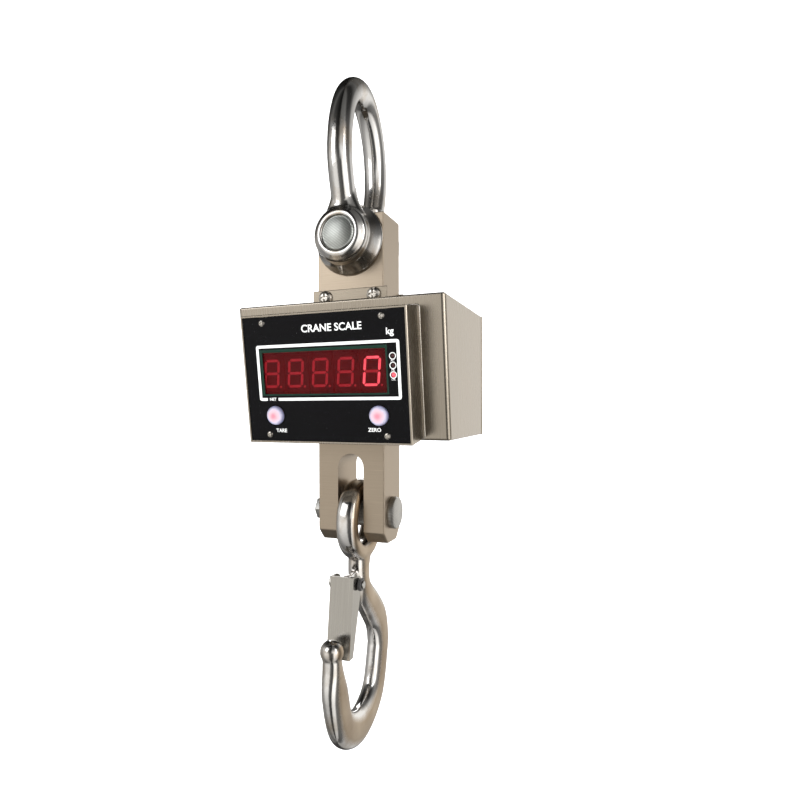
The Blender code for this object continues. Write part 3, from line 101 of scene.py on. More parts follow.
# ---- Shader maths ----
class Value:
    """A shader socket that adds its Math nodes as it is written in an expression."""

    def __init__(self, graph: "Graph", socket: bpy.types.NodeSocket) -> None:
        """Wrap a socket of a graph."""
        self.graph = graph
        self.socket = socket

    def _with(self, operation: str, first: Number, second: Number = 0.0) -> "Value":
        """Add a Math node.

        Args:
            operation: The Math node's operation.
            first: Its first value or link.
            second: Its second value or link.

        Returns:
            The node's result.
        """
        return self.graph.value("ShaderNodeMath", {"operation": operation}, {0: first, 1: second})

    def __add__(self, other: Number) -> "Value":
        """This plus another."""
        return self._with("ADD", self, other)

    def __radd__(self, other: Number) -> "Value":
        """Another plus this."""
        return self._with("ADD", other, self)

    def __sub__(self, other: Number) -> "Value":
        """This minus another."""
        return self._with("SUBTRACT", self, other)

    def __rsub__(self, other: Number) -> "Value":
        """Another minus this."""
        return self._with("SUBTRACT", other, self)

    def __mul__(self, other: Number) -> "Value":
        """This times another."""
        return self._with("MULTIPLY", self, other)

    def __rmul__(self, other: Number) -> "Value":
        """Another times this."""
        return self._with("MULTIPLY", other, self)

    def __pow__(self, other: Number) -> "Value":
        """This to a power."""
        return self._with("POWER", self, other)

    def between(self, low: float, high: float) -> "Value":
        """This as a share of the way from low to high, kept between 0 and 1."""
        inputs = {"Value": self, "From Min": low, "From Max": high}
        return self.graph.value("ShaderNodeMapRange", {"clamp": True}, inputs)


class Graph:
    """A material's nodes, with its Principled shader ready."""

    def __init__(self, name: str) -> None:
        """Make a material.

        Args:
            name: The material's name.
        """
        self.material = bpy.data.materials.new(name)
        self.material.use_nodes = True
        self.tree = self.material.node_tree
        self.shader = self.tree.nodes["Principled BSDF"]

    @classmethod
    def around(cls, tree: bpy.types.NodeTree, shader: bpy.types.Node) -> "Graph":
        """A graph round nodes that are already there."""
        graph = cls.__new__(cls)
        graph.tree, graph.shader = tree, shader
        return graph

    def node(self, kind: str, settings: Given = None, inputs: Given = None) -> Any:
        """Add any node.

        Args:
            kind: The node's type.
            settings: Its own settings, or "stops" for a colour ramp, set before its inputs.
            inputs: A value or a link for each input, by name or index.

        Returns:
            The node.
        """
        made = self.tree.nodes.new(kind)
        for key, setting in (settings or {}).items():
            if key == "stops":
                ramp = made.color_ramp
                while len(ramp.elements) < len(setting):
                    ramp.elements.new(0.5)
                for element, (position, colour) in zip(ramp.elements, setting):
                    element.position = position
                    element.color = (*colour, 1.0)
            else:
                setattr(made, key, setting)
        for key, given in (inputs or {}).items():
            self.feed(made.inputs[key], given)
        return made

    def value(self, kind: str, settings: Given = None, inputs: Given = None, output: Any = 0) -> Value:
        """Add a node, as node does, and wrap one of its outputs."""
        return Value(self, self.node(kind, settings, inputs).outputs[output])

    def feed(self, socket: bpy.types.NodeSocket, given: Any) -> None:
        """Link a wrapped socket to an input, or set the input's own value.

        Args:
            socket: The input.
            given: The wrapped socket, or a value.
        """
        if isinstance(given, Value):
            self.tree.links.new(given.socket, socket)
        elif isinstance(given, tuple) and len(given) == 3 and socket.type == "RGBA":
            socket.default_value = (*given, 1.0)
        else:
            socket.default_value = given

    def set(self, **inputs: Any) -> None:
        """Feed the shader's inputs, named with underscores for spaces."""
        for key, given in inputs.items():
            self.feed(self.shader.inputs[key.replace("_", " ")], given)

    def place(self, scale: Axes = (1, 1, 1), shift: Axes = (0, 0, 0), lean: float = 0.0) -> Value:
        """Object coordinates, shifted, sheared by Y + lean * Z and then scaled along each axis.

        Args:
            scale: What each axis is multiplied by.
            shift: What is added first.
            lean: How much of Z is added to Y, so that a pattern runs along a leaning face.

        Returns:
            The place.
        """
        spot = self.value("ShaderNodeTexCoord", output="Object")
        moved = self.value("ShaderNodeVectorMath", {"operation": "ADD"}, {0: spot, 1: tuple(shift)})
        if lean:
            parts = self.node("ShaderNodeSeparateXYZ", {}, {0: moved})
            x, y, z = (Value(self, parts.outputs[index]) for index in range(3))
            moved = self.value("ShaderNodeCombineXYZ", {}, {0: x, 1: y + z * lean, 2: z})
        return self.value("ShaderNodeVectorMath", {"operation": "MULTIPLY"}, {0: moved, 1: tuple(scale)})

    def noise(self, scale: Axes, detail: float = 2.0, rough: float = 0.5, lean: float = 0.0) -> Value:
        """Smooth noise, whose features are 1 / scale metres along each axis."""
        inputs = {"Vector": self.place(scale, lean=lean), "Scale": 1.0, "Detail": detail, "Roughness": rough}
        return self.value("ShaderNodeTexNoise", {}, inputs)

    def blend(self, share: Number, first: Any, second: Any) -> Value:
        """A colour mixed from two by a share."""
        made = self.node("ShaderNodeMix", {"data_type": "RGBA"}, {0: share, 6: first, 7: second})
        return Value(self, made.outputs[2])

    def bump(
        self, height: Value, depth: float, strength: float = 1.0, after: Optional[Value] = None
    ) -> Value:
        """A normal from a height between 0 and 1 that stands for a depth in metres.

        Args:
            height: The height.
            depth: What a height of 1 stands for.
            strength: How much of the slope is shown.
            after: A normal to start from.

        Returns:
            The normal.
        """
        inputs = {"Height": height, "Distance": depth, "Strength": strength}
        if after is not None:
            inputs["Normal"] = after
        return self.value("ShaderNodeBump", {}, inputs)


# ---- Finishes ----
@dataclass(frozen=True)
class Finish:
    """How a surface looks."""

    name: str

    def build(self) -> bpy.types.Material:
        """The material of this finish."""
        graph = Graph(self.name)
        self.draw(graph)
        return graph.material

    def draw(self, graph: Graph) -> None:
        """Add the nodes of the finish. Each kind of finish has its own."""
        raise NotImplementedError


@dataclass(frozen=True)
class BrushedSteel(Finish):
    """Stainless sheet with a directional grain, cloudy polishing and a few deeper scratches."""

    light: Colour
    dark: Colour
    grain: Grain
    roughness: float = 0.30
    streak_per_metre: float = 1300.0
    streak_depth: float = 0.00004
    lean: float = 0.0

    def draw(self, graph: Graph) -> None:
        """Streaks are noise stretched along the grain; clouds and scratches vary gloss and tone.

        Args:
            graph: The material\'s nodes.
        """
        along = self.grain.value
        coarse = graph.noise([self.streak_per_metre * share for share in along], 3.0, 0.6, self.lean)
        fine = graph.noise([3.7 * self.streak_per_metre * share for share in along], 2.0, 0.6, self.lean)
        cloud = graph.noise((11, 11, 11), 3.0)
        scratch = graph.noise([900 * share + 5 for share in along], 2.0, 0.5, self.lean).between(0.70, 0.78)
        tone = (coarse * 0.40 + fine * 0.25 + cloud * 0.60 - 0.12).between(0.25, 0.85)
        brighter = tuple(min(1.0, 1.25 * part) for part in self.light)
        colour = graph.blend(scratch * 0.4, graph.blend(tone, self.dark, self.light), brighter)
        gloss = self.roughness + (coarse - 0.5) * 0.16 + (cloud - 0.5) * 0.18
        height = coarse * 0.6 + fine * 0.4 - scratch * 0.3
        skin = graph.bump(height, self.streak_depth, 0.45)
        graph.set(Base_Color=colour, Metallic=1.0, Roughness=gloss, Normal=skin, Anisotropic=0.35)


@dataclass(frozen=True)
class PolishedSteel(Finish):
    """Forged steel polished by hand: bright, slightly wavy, with softer worn clouds and fine pits."""

    bright: Colour = (0.74, 0.735, 0.73)
    warm: Colour = (0.56, 0.48, 0.39)
    roughness: float = 0.10
    wave_depth: float = 0.0012

    def draw(self, graph: Graph) -> None:
        """Broad noise bends the reflections, mid noise dulls patches and fine noise pits the metal.

        Args:
            graph: The material\'s nodes.
        """
        broad = graph.noise((22, 22, 16), 1.5)
        patch = graph.noise((38, 38, 24), 3.0, 0.6)
        polish = graph.noise((420, 420, 90), 2.0)
        pits = graph.noise((760, 760, 760), 2.0).between(0.70, 0.78)
        colour = graph.blend(patch.between(0.48, 0.78), self.bright, self.warm)
        gloss = self.roughness + patch.between(0.45, 0.80) * 0.16 + polish * 0.04 + pits * 0.15
        waves = graph.bump(broad, self.wave_depth, 0.35)
        skin = graph.bump(polish * 0.5 - pits, 0.00006, 0.35, waves)
        graph.set(Base_Color=colour, Metallic=1.0, Roughness=gloss, Normal=skin)


@dataclass(frozen=True)
class FacedSteel(Finish):
    """A pin's steel: satin all over, with parallel file marks slanting across its faced ends."""

    along: int
    light: Colour = (0.62, 0.64, 0.62)
    dark: Colour = (0.38, 0.40, 0.38)
    marks_per_metre: float = 410.0

    def draw(self, graph: Graph) -> None:
        """The marks are a sine of a slanting distance across the end, made uneven by noise.

        Args:
            graph: The material\'s nodes.
        """
        spot = graph.node("ShaderNodeSeparateXYZ", {}, {0: graph.place()})
        across = Value(graph, spot.outputs[0 if self.along else 1])
        up = Value(graph, spot.outputs[2])
        uneven = graph.noise((160, 160, 160), 3.0)
        slant = (across * 0.62 + up * 0.78) * (self.marks_per_metre * math.tau) + uneven * 2.6
        wave = graph.value("ShaderNodeMath", {"operation": "SINE"}, {0: slant}) * 0.5 + 0.5
        mark = wave.between(0.35, 0.95) * uneven.between(0.25, 0.55)
        fine = graph.noise((900, 900, 900), 3.0)
        colour = graph.blend(mark * 0.55 + fine * 0.4, self.dark, self.light)
        gloss = 0.34 + fine * 0.12 - mark * 0.08
        graph.set(Base_Color=colour, Metallic=1.0, Roughness=gloss, Normal=graph.bump(mark, 0.0001, 0.5))


@dataclass(frozen=True)
class ForgedSteel(PolishedSteel):
    """The hook's steel: polished round its edges, with satin, tan cheeks on its two flat sides."""

    bright: Colour = (0.82, 0.81, 0.80)
    cheek: Colour = (0.38, 0.29, 0.20)
    cheek_light: Colour = (0.56, 0.46, 0.34)
    cheek_from: float = 0.0082
    cheek_to: float = 0.0108

    def draw(self, graph: Graph) -> None:
        """How far a point is from the middle plane, across X, says whether it is on a cheek.

        Args:
            graph: The material's nodes.
        """
        super().draw(graph)
        across = graph.value("ShaderNodeSeparateXYZ", {}, {0: graph.place()}, "X")
        side = (across * across) ** 0.5
        grind = graph.noise((90, 60, 420), 3.0)
        cheek = (side + (grind - 0.5) * 0.0010).between(self.cheek_from, self.cheek_to)
        tone = graph.noise((26, 26, 26), 3.0)
        satin = graph.blend(tone.between(0.3, 0.75), self.cheek, self.cheek_light)
        base, gloss = graph.shader.inputs["Base Color"], graph.shader.inputs["Roughness"]
        polished, shine = Value(graph, base.links[0].from_socket), Value(graph, gloss.links[0].from_socket)
        graph.set(Base_Color=graph.blend(cheek, polished, satin))
        graph.set(Roughness=shine * (1 - cheek) + cheek * (0.26 + 0.16 * grind))


@dataclass(frozen=True)
class ZincPlate(Finish):
    """Bright zinc plating: cool, slightly iridescent, with crystal spangle and rubbed streaks."""

    light: Colour = (0.60, 0.61, 0.61)
    dark: Colour = (0.42, 0.41, 0.39)
    roughness: float = 0.26

    def draw(self, graph: Graph) -> None:
        """Cells of a Voronoi pattern shade the spangle, and noise tints it warm and cool.

        Args:
            graph: The material\'s nodes.
        """
        inputs = {"Vector": graph.place(), "Scale": 420.0}
        cell = graph.node("ShaderNodeTexVoronoi", {}, inputs).outputs["Color"]
        spangle = graph.value("ShaderNodeRGBToBW", {}, {0: Value(graph, cell)})
        tint = graph.noise((45, 45, 30), 3.0)
        rub = graph.noise((300, 300, 40), 2.0)
        plain = graph.blend(spangle * 0.12 + rub * 0.25 + tint * 0.4, self.dark, self.light)
        colour = graph.blend(tint.between(0.42, 0.72) * 0.6, plain, (0.46, 0.41, 0.34))
        gloss = self.roughness + (spangle - 0.5) * 0.03 + (rub - 0.5) * 0.08
        graph.set(Base_Color=colour, Metallic=1.0, Roughness=gloss, Normal=graph.bump(rub, 0.00001, 0.2))


@dataclass(frozen=True)
class GlossPanel(Finish):
    """A black printed panel: deep gloss with smudges, dust and a faint orange peel."""

    colour: Colour = (0.0012, 0.0012, 0.0017)
    smudged: Colour = (0.0035, 0.0035, 0.0045)
    dusty: Colour = (0.5, 0.5, 0.5)
    roughness: float = 0.12

    def draw(self, graph: Graph) -> None:
        """Smudges vary the gloss, and rare specks are dust.

        Args:
            graph: The material\'s nodes.
        """
        smudge = graph.noise((24, 24, 24), 4.0, 0.6)
        peel = graph.noise((500, 500, 500), 1.0)
        dust = graph.noise((1100, 1100, 1100), 2.0).between(0.745, 0.79)
        gloss_black = graph.blend(smudge * 0.5, self.colour, self.smudged)
        colour = graph.blend(dust * 0.25, gloss_black, self.dusty)
        gloss = self.roughness + smudge.between(0.45, 0.75) * 0.16 + dust * 0.3
        skin = graph.bump(peel, 0.00002, 0.4)
        graph.set(Base_Color=colour, Roughness=gloss, Normal=skin, Specular_IOR_Level=0.12)


@dataclass(frozen=True)
class PrintedMark(Finish):
    """Screen-printed ink: nearly even, with pinholes and a soft, slightly worn tone."""

    colour: Colour

    def draw(self, graph: Graph) -> None:
        """Fine noise makes pinholes, and broad noise thins the ink.

        Args:
            graph: The material\'s nodes.
        """
        thin = graph.noise((60, 60, 60), 3.0)
        pin = graph.noise((1500, 1500, 1500), 1.0).between(0.70, 0.78)
        faded = tuple(0.80 * part for part in self.colour)
        colour = graph.blend(pin * 0.5, graph.blend(thin, faded, self.colour), (0.05, 0.05, 0.05))
        graph.set(Base_Color=colour, Roughness=0.42 + thin * 0.15, Normal=graph.bump(thin, 0.00002, 0.3))
        graph.set(Specular_IOR_Level=0.25)


@dataclass(frozen=True)
class GlowingSegment(Finish):
    """A display segment: red plastic that glows, a little unevenly."""

    colour: Colour
    glow: Colour
    strength: float

    def draw(self, graph: Graph) -> None:
        """Noise a millimetre across makes the glow uneven, as a chip under each segment does.

        Args:
            graph: The material\'s nodes.
        """
        uneven = graph.noise((260, 260, 260), 2.0)
        dimmer = tuple(0.62 * part for part in self.glow)
        light = graph.blend(uneven.between(0.3, 0.7), dimmer, self.glow)
        graph.set(Base_Color=self.colour, Roughness=0.35 + uneven * 0.1, Emission_Color=light)
        graph.set(Emission_Strength=self.strength)


@dataclass(frozen=True)
class TintedFilter(Finish):
    """A dark red window: glossy, partly clear, so that the modules show dimly behind it."""

    colour: Colour = (0.085, 0.001, 0.002)
    clear: float = 0.62

    def draw(self, graph: Graph) -> None:
        """Broad noise thickens the tint towards some places, and smudges vary the gloss.

        Args:
            graph: The material\'s nodes.
        """
        cloud = graph.noise((30, 30, 30), 3.0)
        deeper = tuple(0.6 * part for part in self.colour)
        graph.set(
            Base_Color=graph.blend(cloud, deeper, self.colour),
            Roughness=0.05 + cloud.between(0.4, 0.8) * 0.14,
            Alpha=(1 - self.clear) + (cloud - 0.5) * 0.06,
            Specular_IOR_Level=0.10,
        )


@dataclass(frozen=True)
class MouldedPlastic(Finish):
    """Moulded plastic or rubber with a fine spark texture and handling marks."""

    colour: Colour
    roughness: float = 0.5
    grain_depth: float = 0.00005

    def draw(self, graph: Graph) -> None:
        """Fine noise is the mould's texture, and broad noise is wear.

        Args:
            graph: The material\'s nodes.
        """
        grain = graph.noise((1300, 1300, 1300), 2.0)
        worn = graph.noise((40, 40, 40), 3.0)
        lighter = tuple(min(1.0, 1.5 * part + 0.015) for part in self.colour)
        gloss = self.roughness + (worn - 0.5) * 0.2 + (grain - 0.5) * 0.1
        colour = graph.blend(worn.between(0.4, 0.8) * 0.6, self.colour, lighter)
        graph.set(Base_Color=colour, Roughness=gloss, Normal=graph.bump(grain, self.grain_depth, 0.6))


@dataclass(frozen=True)
class FrostedButton(Finish):
    """A frosted dome lit from within: pink at the middle and cool white towards the rim."""

    centre: Vector
    radius: float
    stops: tuple[tuple[float, Colour], ...] = (
        (0.14, (0.66, 0.19, 0.25)),
        (0.46, (0.66, 0.38, 0.43)),
        (0.76, (0.46, 0.43, 0.53)),
        (1.0, (0.17, 0.17, 0.27)),
    )

    def draw(self, graph: Graph) -> None:
        """The distance from the dome's middle, with a little noise, picks the colour.

        Args:
            graph: The material\'s nodes.
        """
        spot = graph.place(shift=-self.centre)
        near = graph.value("ShaderNodeVectorMath", {"operation": "LENGTH"}, {0: spot}, "Value")
        frost = graph.noise((900, 900, 900), 2.0)
        mottle = graph.noise((160, 160, 160), 2.0)
        share = near * (1 / self.radius) + (mottle - 0.5) * 0.28
        colour = graph.value("ShaderNodeValToRGB", {"stops": self.stops}, {0: share})
        graph.set(Base_Color=colour, Roughness=0.30 + frost * 0.2, Normal=graph.bump(frost, 0.00005, 0.5))
        graph.set(Subsurface_Weight=0.15, Subsurface_Scale=0.003)
        graph.set(Emission_Color=colour, Emission_Strength=0.10)


@dataclass(frozen=True)
class CircuitBoard(Finish):
    """A green solder-masked board with its copper tracks showing as a lighter maze."""

    def draw(self, graph: Graph) -> None:
        """A brick pattern a few millimetres across stands for tracks and pads.

        Args:
            graph: The material\'s nodes.
        """
        inputs = {
            "Vector": graph.place((220, 220, 220)),
            "Color1": (0.010, 0.10, 0.035),
            "Color2": (0.02, 0.15, 0.055),
            "Mortar": (0.05, 0.26, 0.11),
            "Scale": 1.0,
            "Mortar Size": 0.06,
        }
        tracks = graph.node("ShaderNodeTexBrick", {}, inputs)
        grain = graph.noise((700, 700, 700), 2.0)
        colour = graph.blend(grain * 0.2, Value(graph, tracks.outputs["Color"]), (0.01, 0.07, 0.03))
        height = Value(graph, tracks.outputs["Fac"])
        graph.set(Base_Color=colour, Roughness=0.32 + grain * 0.2, Normal=graph.bump(height, 0.00004, 0.5))


WARM_LIGHT: Colour = (0.60, 0.54, 0.46)
WARM_DARK: Colour = (0.38, 0.335, 0.275)
FACE_LEAN = math.tan(math.radians(8.24))  # how far the display side goes back for each metre down
LATCH_LEAN = -0.141  # the same for the latch, which leans the other way
SHEET = BrushedSteel(
    "sheet_stainless", WARM_LIGHT, WARM_DARK, Grain.UPRIGHT, 0.27, streak_depth=0.00002, lean=FACE_LEAN
)
COVER = BrushedSteel("cover_stainless", WARM_LIGHT, WARM_DARK, Grain.UPRIGHT, 0.30, streak_depth=0.00002)
COLUMN = BrushedSteel("column_satin", (0.58, 0.49, 0.385), (0.40, 0.33, 0.255), Grain.LEVEL, 0.36)
BRACKET = BrushedSteel("bracket_stainless", (0.43, 0.38, 0.31), (0.28, 0.24, 0.19), Grain.LEVEL, 0.32)
FORGING = PolishedSteel("forging_polished")
HOOK_FORGING = ForgedSteel("hook_polished")
SHACKLE_PIN = FacedSteel("pin_faced", 1)
HOOK_PIN = FacedSteel("hook_pin_faced", 0, (0.66, 0.65, 0.62), (0.44, 0.43, 0.41))
ZINC = ZincPlate("zinc_plated")
LATCH = BrushedSteel(
    "latch_zinc_sheet",
    (0.54, 0.52, 0.48),
    (0.36, 0.345, 0.315),
    Grain.UPRIGHT,
    0.24,
    500.0,
    0.00001,
    LATCH_LEAN,
)
SCREW = ZincPlate("screw_zinc", (0.84, 0.82, 0.78), (0.62, 0.58, 0.53), 0.24)
DARK_STEEL = MouldedPlastic("steel_blackened", (0.035, 0.033, 0.032), 0.38)
PANEL = GlossPanel("panel_gloss_black")
WHITE_INK = PrintedMark("ink_white", (0.86, 0.87, 0.86))
GREEN_INK = PrintedMark("ink_dark_green", (0.002, 0.030, 0.017))
FILTER = TintedFilter("window_red")
MODULE = MouldedPlastic("digit_face_dark_red", (0.105, 0.001, 0.003), 0.6)
MODULE_EDGE = MouldedPlastic("digit_edge_red", (0.30, 0.020, 0.025), 0.5)
SEGMENT_DIM = GlowingSegment("segment_dim", (0.50, 0.03, 0.04), (0.85, 0.03, 0.06), 0.62)
SEGMENT_LIT = GlowingSegment("segment_lit", (0.9, 0.12, 0.14), (1.0, 0.085, 0.12), 3.2)
LAMP_OFF = MouldedPlastic("lamp_off", (0.05, 0.02, 0.02), 0.25)
LAMP_ON = GlowingSegment("lamp_on", (0.9, 0.1, 0.12), (1.0, 0.05, 0.09), 1.3)
DARK_PLASTIC = MouldedPlastic("plastic_dark", (0.020, 0.020, 0.022))
RUBBER = MouldedPlastic("rubber_black", (0.013, 0.013, 0.013), 0.68, 0.00008)
CASE = MouldedPlastic("battery_case_grey", (0.09, 0.095, 0.11), 0.5)
BOARD = CircuitBoard("board_green")


# ---- Surfaces ----
def linked(name: str, data: bpy.types.ID) -> bpy.types.Object:
    """A new object that holds some data, linked into the scene."""
    made = bpy.data.objects.new(name, data)
    bpy.context.scene.collection.objects.link(made)
    return made


def shade(piece: bpy.types.Object, smooth: bool) -> None:
    """Shade all of a piece's faces smooth, or all of them flat."""
    faces = piece.data.polygons
    faces.foreach_set("use_smooth", np.full(len(faces), smooth))


def mesh_object(name: str, points: np.ndarray, faces: list, smooth: bool = True) -> bpy.types.Object:
    """An object from points and faces, with its faces turned outwards.

    Args:
        name: The object's name.
        points: Its points, in an array whose last axis is X, Y and Z.
        faces: The point numbers of each face.
        smooth: Whether it is shaded smooth, with its sharp edges left sharp.

    Returns:
        The object.
    """
    mesh = bpy.data.meshes.new(name)
    mesh.from_pydata(points.reshape(-1, 3).tolist(), [], faces)
    shape = bmesh.new()
    shape.from_mesh(mesh)
    bmesh.ops.remove_doubles(shape, verts=shape.verts, dist=1e-7)
    bmesh.ops.recalc_face_normals(shape, faces=shape.faces)
    shape.to_mesh(mesh)
    shape.free()
    made = linked(name, mesh)
    shade(made, smooth)
    if smooth:
        mesh.set_sharp_from_angle(angle=SHARP_ANGLE)
    return made


def grid_faces(rows: int, columns: int, wrap_rows: bool) -> np.ndarray:
    """Quads between neighbours in a grid of points numbered row by row.

    Args:
        rows: How many rings of points there are.
        columns: How many points each ring has.
        wrap_rows: Whether the last ring joins the first.

    Returns:
        The four point numbers of each quad.
    """
    row = np.arange(rows if wrap_rows else rows - 1)[:, None] * columns
    column = np.arange(columns)[None, :]
    below, beside = (row + columns) % (rows * columns), (column + 1) % columns
    corners = [row + column, row + beside, below + beside, below + column]
    return np.stack(np.broadcast_arrays(*corners), axis=-1).reshape(-1, 4)


def surface(name: str, points: np.ndarray, wrap_rows: bool = False, capped: bool = True) -> bpy.types.Object:
    """A surface whose rows are closed rings of points.

    Args:
        name: The object's name.
        points: The rings, as a grid of points.
        wrap_rows: Whether the last ring joins the first.
        capped: Whether each open end has a cap.

    Returns:
        The object.
    """
    rows, columns = points.shape[:2]
    faces = grid_faces(rows, columns, wrap_rows).tolist()
    if capped and not wrap_rows:
        faces += [list(range(columns))[::-1], list(range((rows - 1) * columns, rows * columns))]
    return mesh_object(name, points, faces)


def circle(radius: float, steps: int) -> np.ndarray:
    """The (radius * cos a, radius * sin a) points of a circle."""
    angle = np.linspace(0, math.tau, steps, endpoint=False)
    return radius * np.stack([np.cos(angle), np.sin(angle)], axis=1)


def superellipse(steps: int, power: float) -> np.ndarray:
    """Points round a rounded square of half width 1: a circle's, raised to a power with their signs."""
    unit = circle(1.0, steps)
    return np.sign(unit) * np.abs(unit) ** power


def turned(
    name: str, profile: Sequence, centre: Vector, axis: Sequence[float], steps: int = 96, ring: bool = False
) -> bpy.types.Object:
    """A solid of revolution.

    Each profile point (r, h) sweeps the circle centre + h * axis + r * (cos a * side + sin a * other).

    Args:
        name: The object's name.
        profile: Its (radius, height) points.
        centre: Where height 0 is.
        axis: The direction of height.
        steps: How many points go round.
        ring: Whether the profile closes on itself.

    Returns:
        The object.
    """
    line = np.asarray(profile, float)
    along = np.asarray(axis, float)
    side = np.cross(along, ASLANT)
    side /= np.linalg.norm(side)
    hoop = circle(1.0, steps) @ np.stack([side, np.cross(along, side)])
    points = np.asarray(centre) + line[:, 1, None, None] * along + line[:, 0, None, None] * hoop
    return surface(name, points, wrap_rows=ring, capped=not ring)


def rounded(profile: Sequence, radius: float, steps: int, closed: bool = False) -> list:
    """A profile with each corner replaced by a quadratic curve that starts a radius before it.

    Args:
        profile: The profile's points.
        radius: How far before a corner its curve starts, where the sides are long enough.
        steps: How many pieces each curve has.
        closed: Whether the last point joins the first.

    Returns:
        The points of the rounded profile.
    """
    line = np.asarray(profile, float)
    found = [] if closed else [line[0]]
    count = len(line)
    share = np.linspace(0, 1, steps + 1)[:, None]
    for index in range(count) if closed else range(1, count - 1):
        before, corner, after = line[index - 1], line[index], line[(index + 1) % count]
        into, out = before - corner, after - corner
        long_in, long_out = np.linalg.norm(into), np.linalg.norm(out)
        reach = min(radius, CORNER_SHARE * long_in, CORNER_SHARE * long_out)
        start, end = corner + into / long_in * reach, corner + out / long_out * reach
        found += list((1 - share) ** 2 * start + 2 * share * (1 - share) * corner + share**2 * end)
    if not closed:
        found.append(line[-1])
    return found


def rounded_box(
    left: float, right: float, top: float, bottom: float, radius: float, steps: int
) -> np.ndarray:
    """The outline of an upright rectangle with rounded corners."""
    corners = [(left, top), (right, top), (right, bottom), (left, bottom)]
    return np.array(rounded(corners, radius, steps, closed=True))


def swept(path: np.ndarray, outward: np.ndarray, section: np.ndarray, looped: bool = False) -> np.ndarray:
    """Points of a section carried along a path: path + u * outward + v * (tangent x outward).

    Args:
        path: Points along the path, one row each.
        outward: A direction across the path at each point, or one for all of them.
        section: (u, v) points of the section, the same all along or one set for each path point.
        looped: Whether the path closes on itself.

    Returns:
        A grid of points: one ring for each path point.
    """
    if looped:
        tangent = np.roll(path, -1, axis=0) - np.roll(path, 1, axis=0)
    else:
        tangent = np.gradient(path, axis=0)
    tangent /= np.linalg.norm(tangent, axis=1, keepdims=True)
    outward = np.broadcast_to(outward, path.shape)
    outward = outward - (outward * tangent).sum(axis=1, keepdims=True) * tangent
    outward = outward / np.linalg.norm(outward, axis=1, keepdims=True)
    across = np.cross(tangent, outward)
    if section.ndim == 2:
        section = np.broadcast_to(section, (len(path), *section.shape))
    return path[:, None] + section[..., :1] * outward[:, None] + section[..., 1:] * across[:, None]


def smooth_through(stations: np.ndarray, per_span: int) -> np.ndarray:
    """A Catmull-Rom curve: each span is a cubic that passes through its two ends.

    Args:
        stations: The rows of values that it passes through.
        per_span: How many rows each span gives.

    Returns:
        The rows along the curve.
    """
    padded = np.vstack([stations[:1], stations, stations[-1:]])
    t = np.linspace(0, 1, per_span, endpoint=False)[None, :, None]
    before, start, end, after = (padded[i : len(padded) - 3 + i, None] for i in range(4))
    spans = (
        start
        + t * (end - before) / 2
        + t**2 * (2 * before - 5 * start + 4 * end - after) / 2
        + t**3 * (3 * start - before - 3 * end + after) / 2
    )
    return np.vstack([spans.reshape(-1, stations.shape[1]), stations[-1:]])


def evaluated_copy(source: bpy.types.Object, name: str) -> bpy.types.Object:
    """A new object that holds another's mesh with its modifiers applied.

    Args:
        source: The other object, which is removed.
        name: The new object's name.

    Returns:
        The new object.
    """
    graph = bpy.context.evaluated_depsgraph_get()
    mesh = bpy.data.meshes.new_from_object(source.evaluated_get(graph))
    bpy.data.objects.remove(source)
    mesh.name = name
    return linked(name, mesh)


def forged(name: str, parts: Sequence[bpy.types.Object], rounds: int) -> bpy.types.Object:
    """Overlapping closed parts made one skin, with soft fillets where they meet.

    Args:
        name: The new object's name.
        parts: The parts, which are removed.
        rounds: How many times the skin is relaxed: more gives larger fillets.

    Returns:
        The object.
    """
    shape = bmesh.new()
    for part in parts:
        shape.from_mesh(part.data)
        bpy.data.objects.remove(part)
    mesh = bpy.data.meshes.new(name + "_parts")
    shape.to_mesh(mesh)
    shape.free()
    whole = linked(name + "_parts", mesh)
    remesh = whole.modifiers.new("one_skin", "REMESH")
    remesh.mode = "VOXEL"
    remesh.voxel_size = FORGING_VOXEL
    relax = whole.modifiers.new("fillets", "SMOOTH")
    relax.factor = 0.5
    relax.iterations = rounds
    bpy.context.view_layer.update()
    made = evaluated_copy(whole, name)
    shade(made, True)
    return made


def refined(node: str, edge: float) -> bpy.types.Object:
    """A CAD node's shape with its flat faces made whole, its edges eased and its round faces smooth.

    Args:
        node: The node's name.
        edge: How wide the eased edges are, or 0 for none.

    Returns:
        A new object.
    """
    shape = bmesh.new()
    shape.from_mesh(FRAME["nodes"][node].data)
    bmesh.ops.remove_doubles(shape, verts=shape.verts, dist=2e-6)
    bmesh.ops.dissolve_degenerate(shape, edges=shape.edges, dist=1e-6)
    bmesh.ops.dissolve_limit(shape, angle_limit=FLAT_ANGLE, verts=shape.verts, edges=shape.edges)
    mesh = bpy.data.meshes.new(node + "_fine")
    shape.to_mesh(mesh)
    shape.free()
    mesh.shade_smooth()
    mesh.set_sharp_from_angle(angle=CAD_SHARP_ANGLE)
    made = linked(node + "_fine", mesh)
    if edge:
        bevel = made.modifiers.new("eased_edges", "BEVEL")
        bevel.width = edge
        bevel.segments = 2
        bevel.limit_method = "ANGLE"
        bevel.angle_limit = CAD_SHARP_ANGLE
    weigh = made.modifiers.new("flat_faces_stay_flat", "WEIGHTED_NORMAL")
    weigh.mode = "FACE_AREA"
    weigh.weight = 100
    weigh.keep_sharp = True
    return made


# ---- Places in the frame ----
FRAME: dict[str, Any] = {}
MADE: dict[str, bpy.types.Material] = {}
ENDS = ("front", "rear")
HANDS = ("left", "right")


def joint(name: str) -> dict[str, Any]:
    """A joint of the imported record, by its name."""
    return next(item for item in FRAME["record"]["behaviour"]["joints"] if item["name"] == name)


def pivot_of(name: str) -> Vector:
    """Where a hinge turns."""
    return Vector(joint(name)["pos_m"])


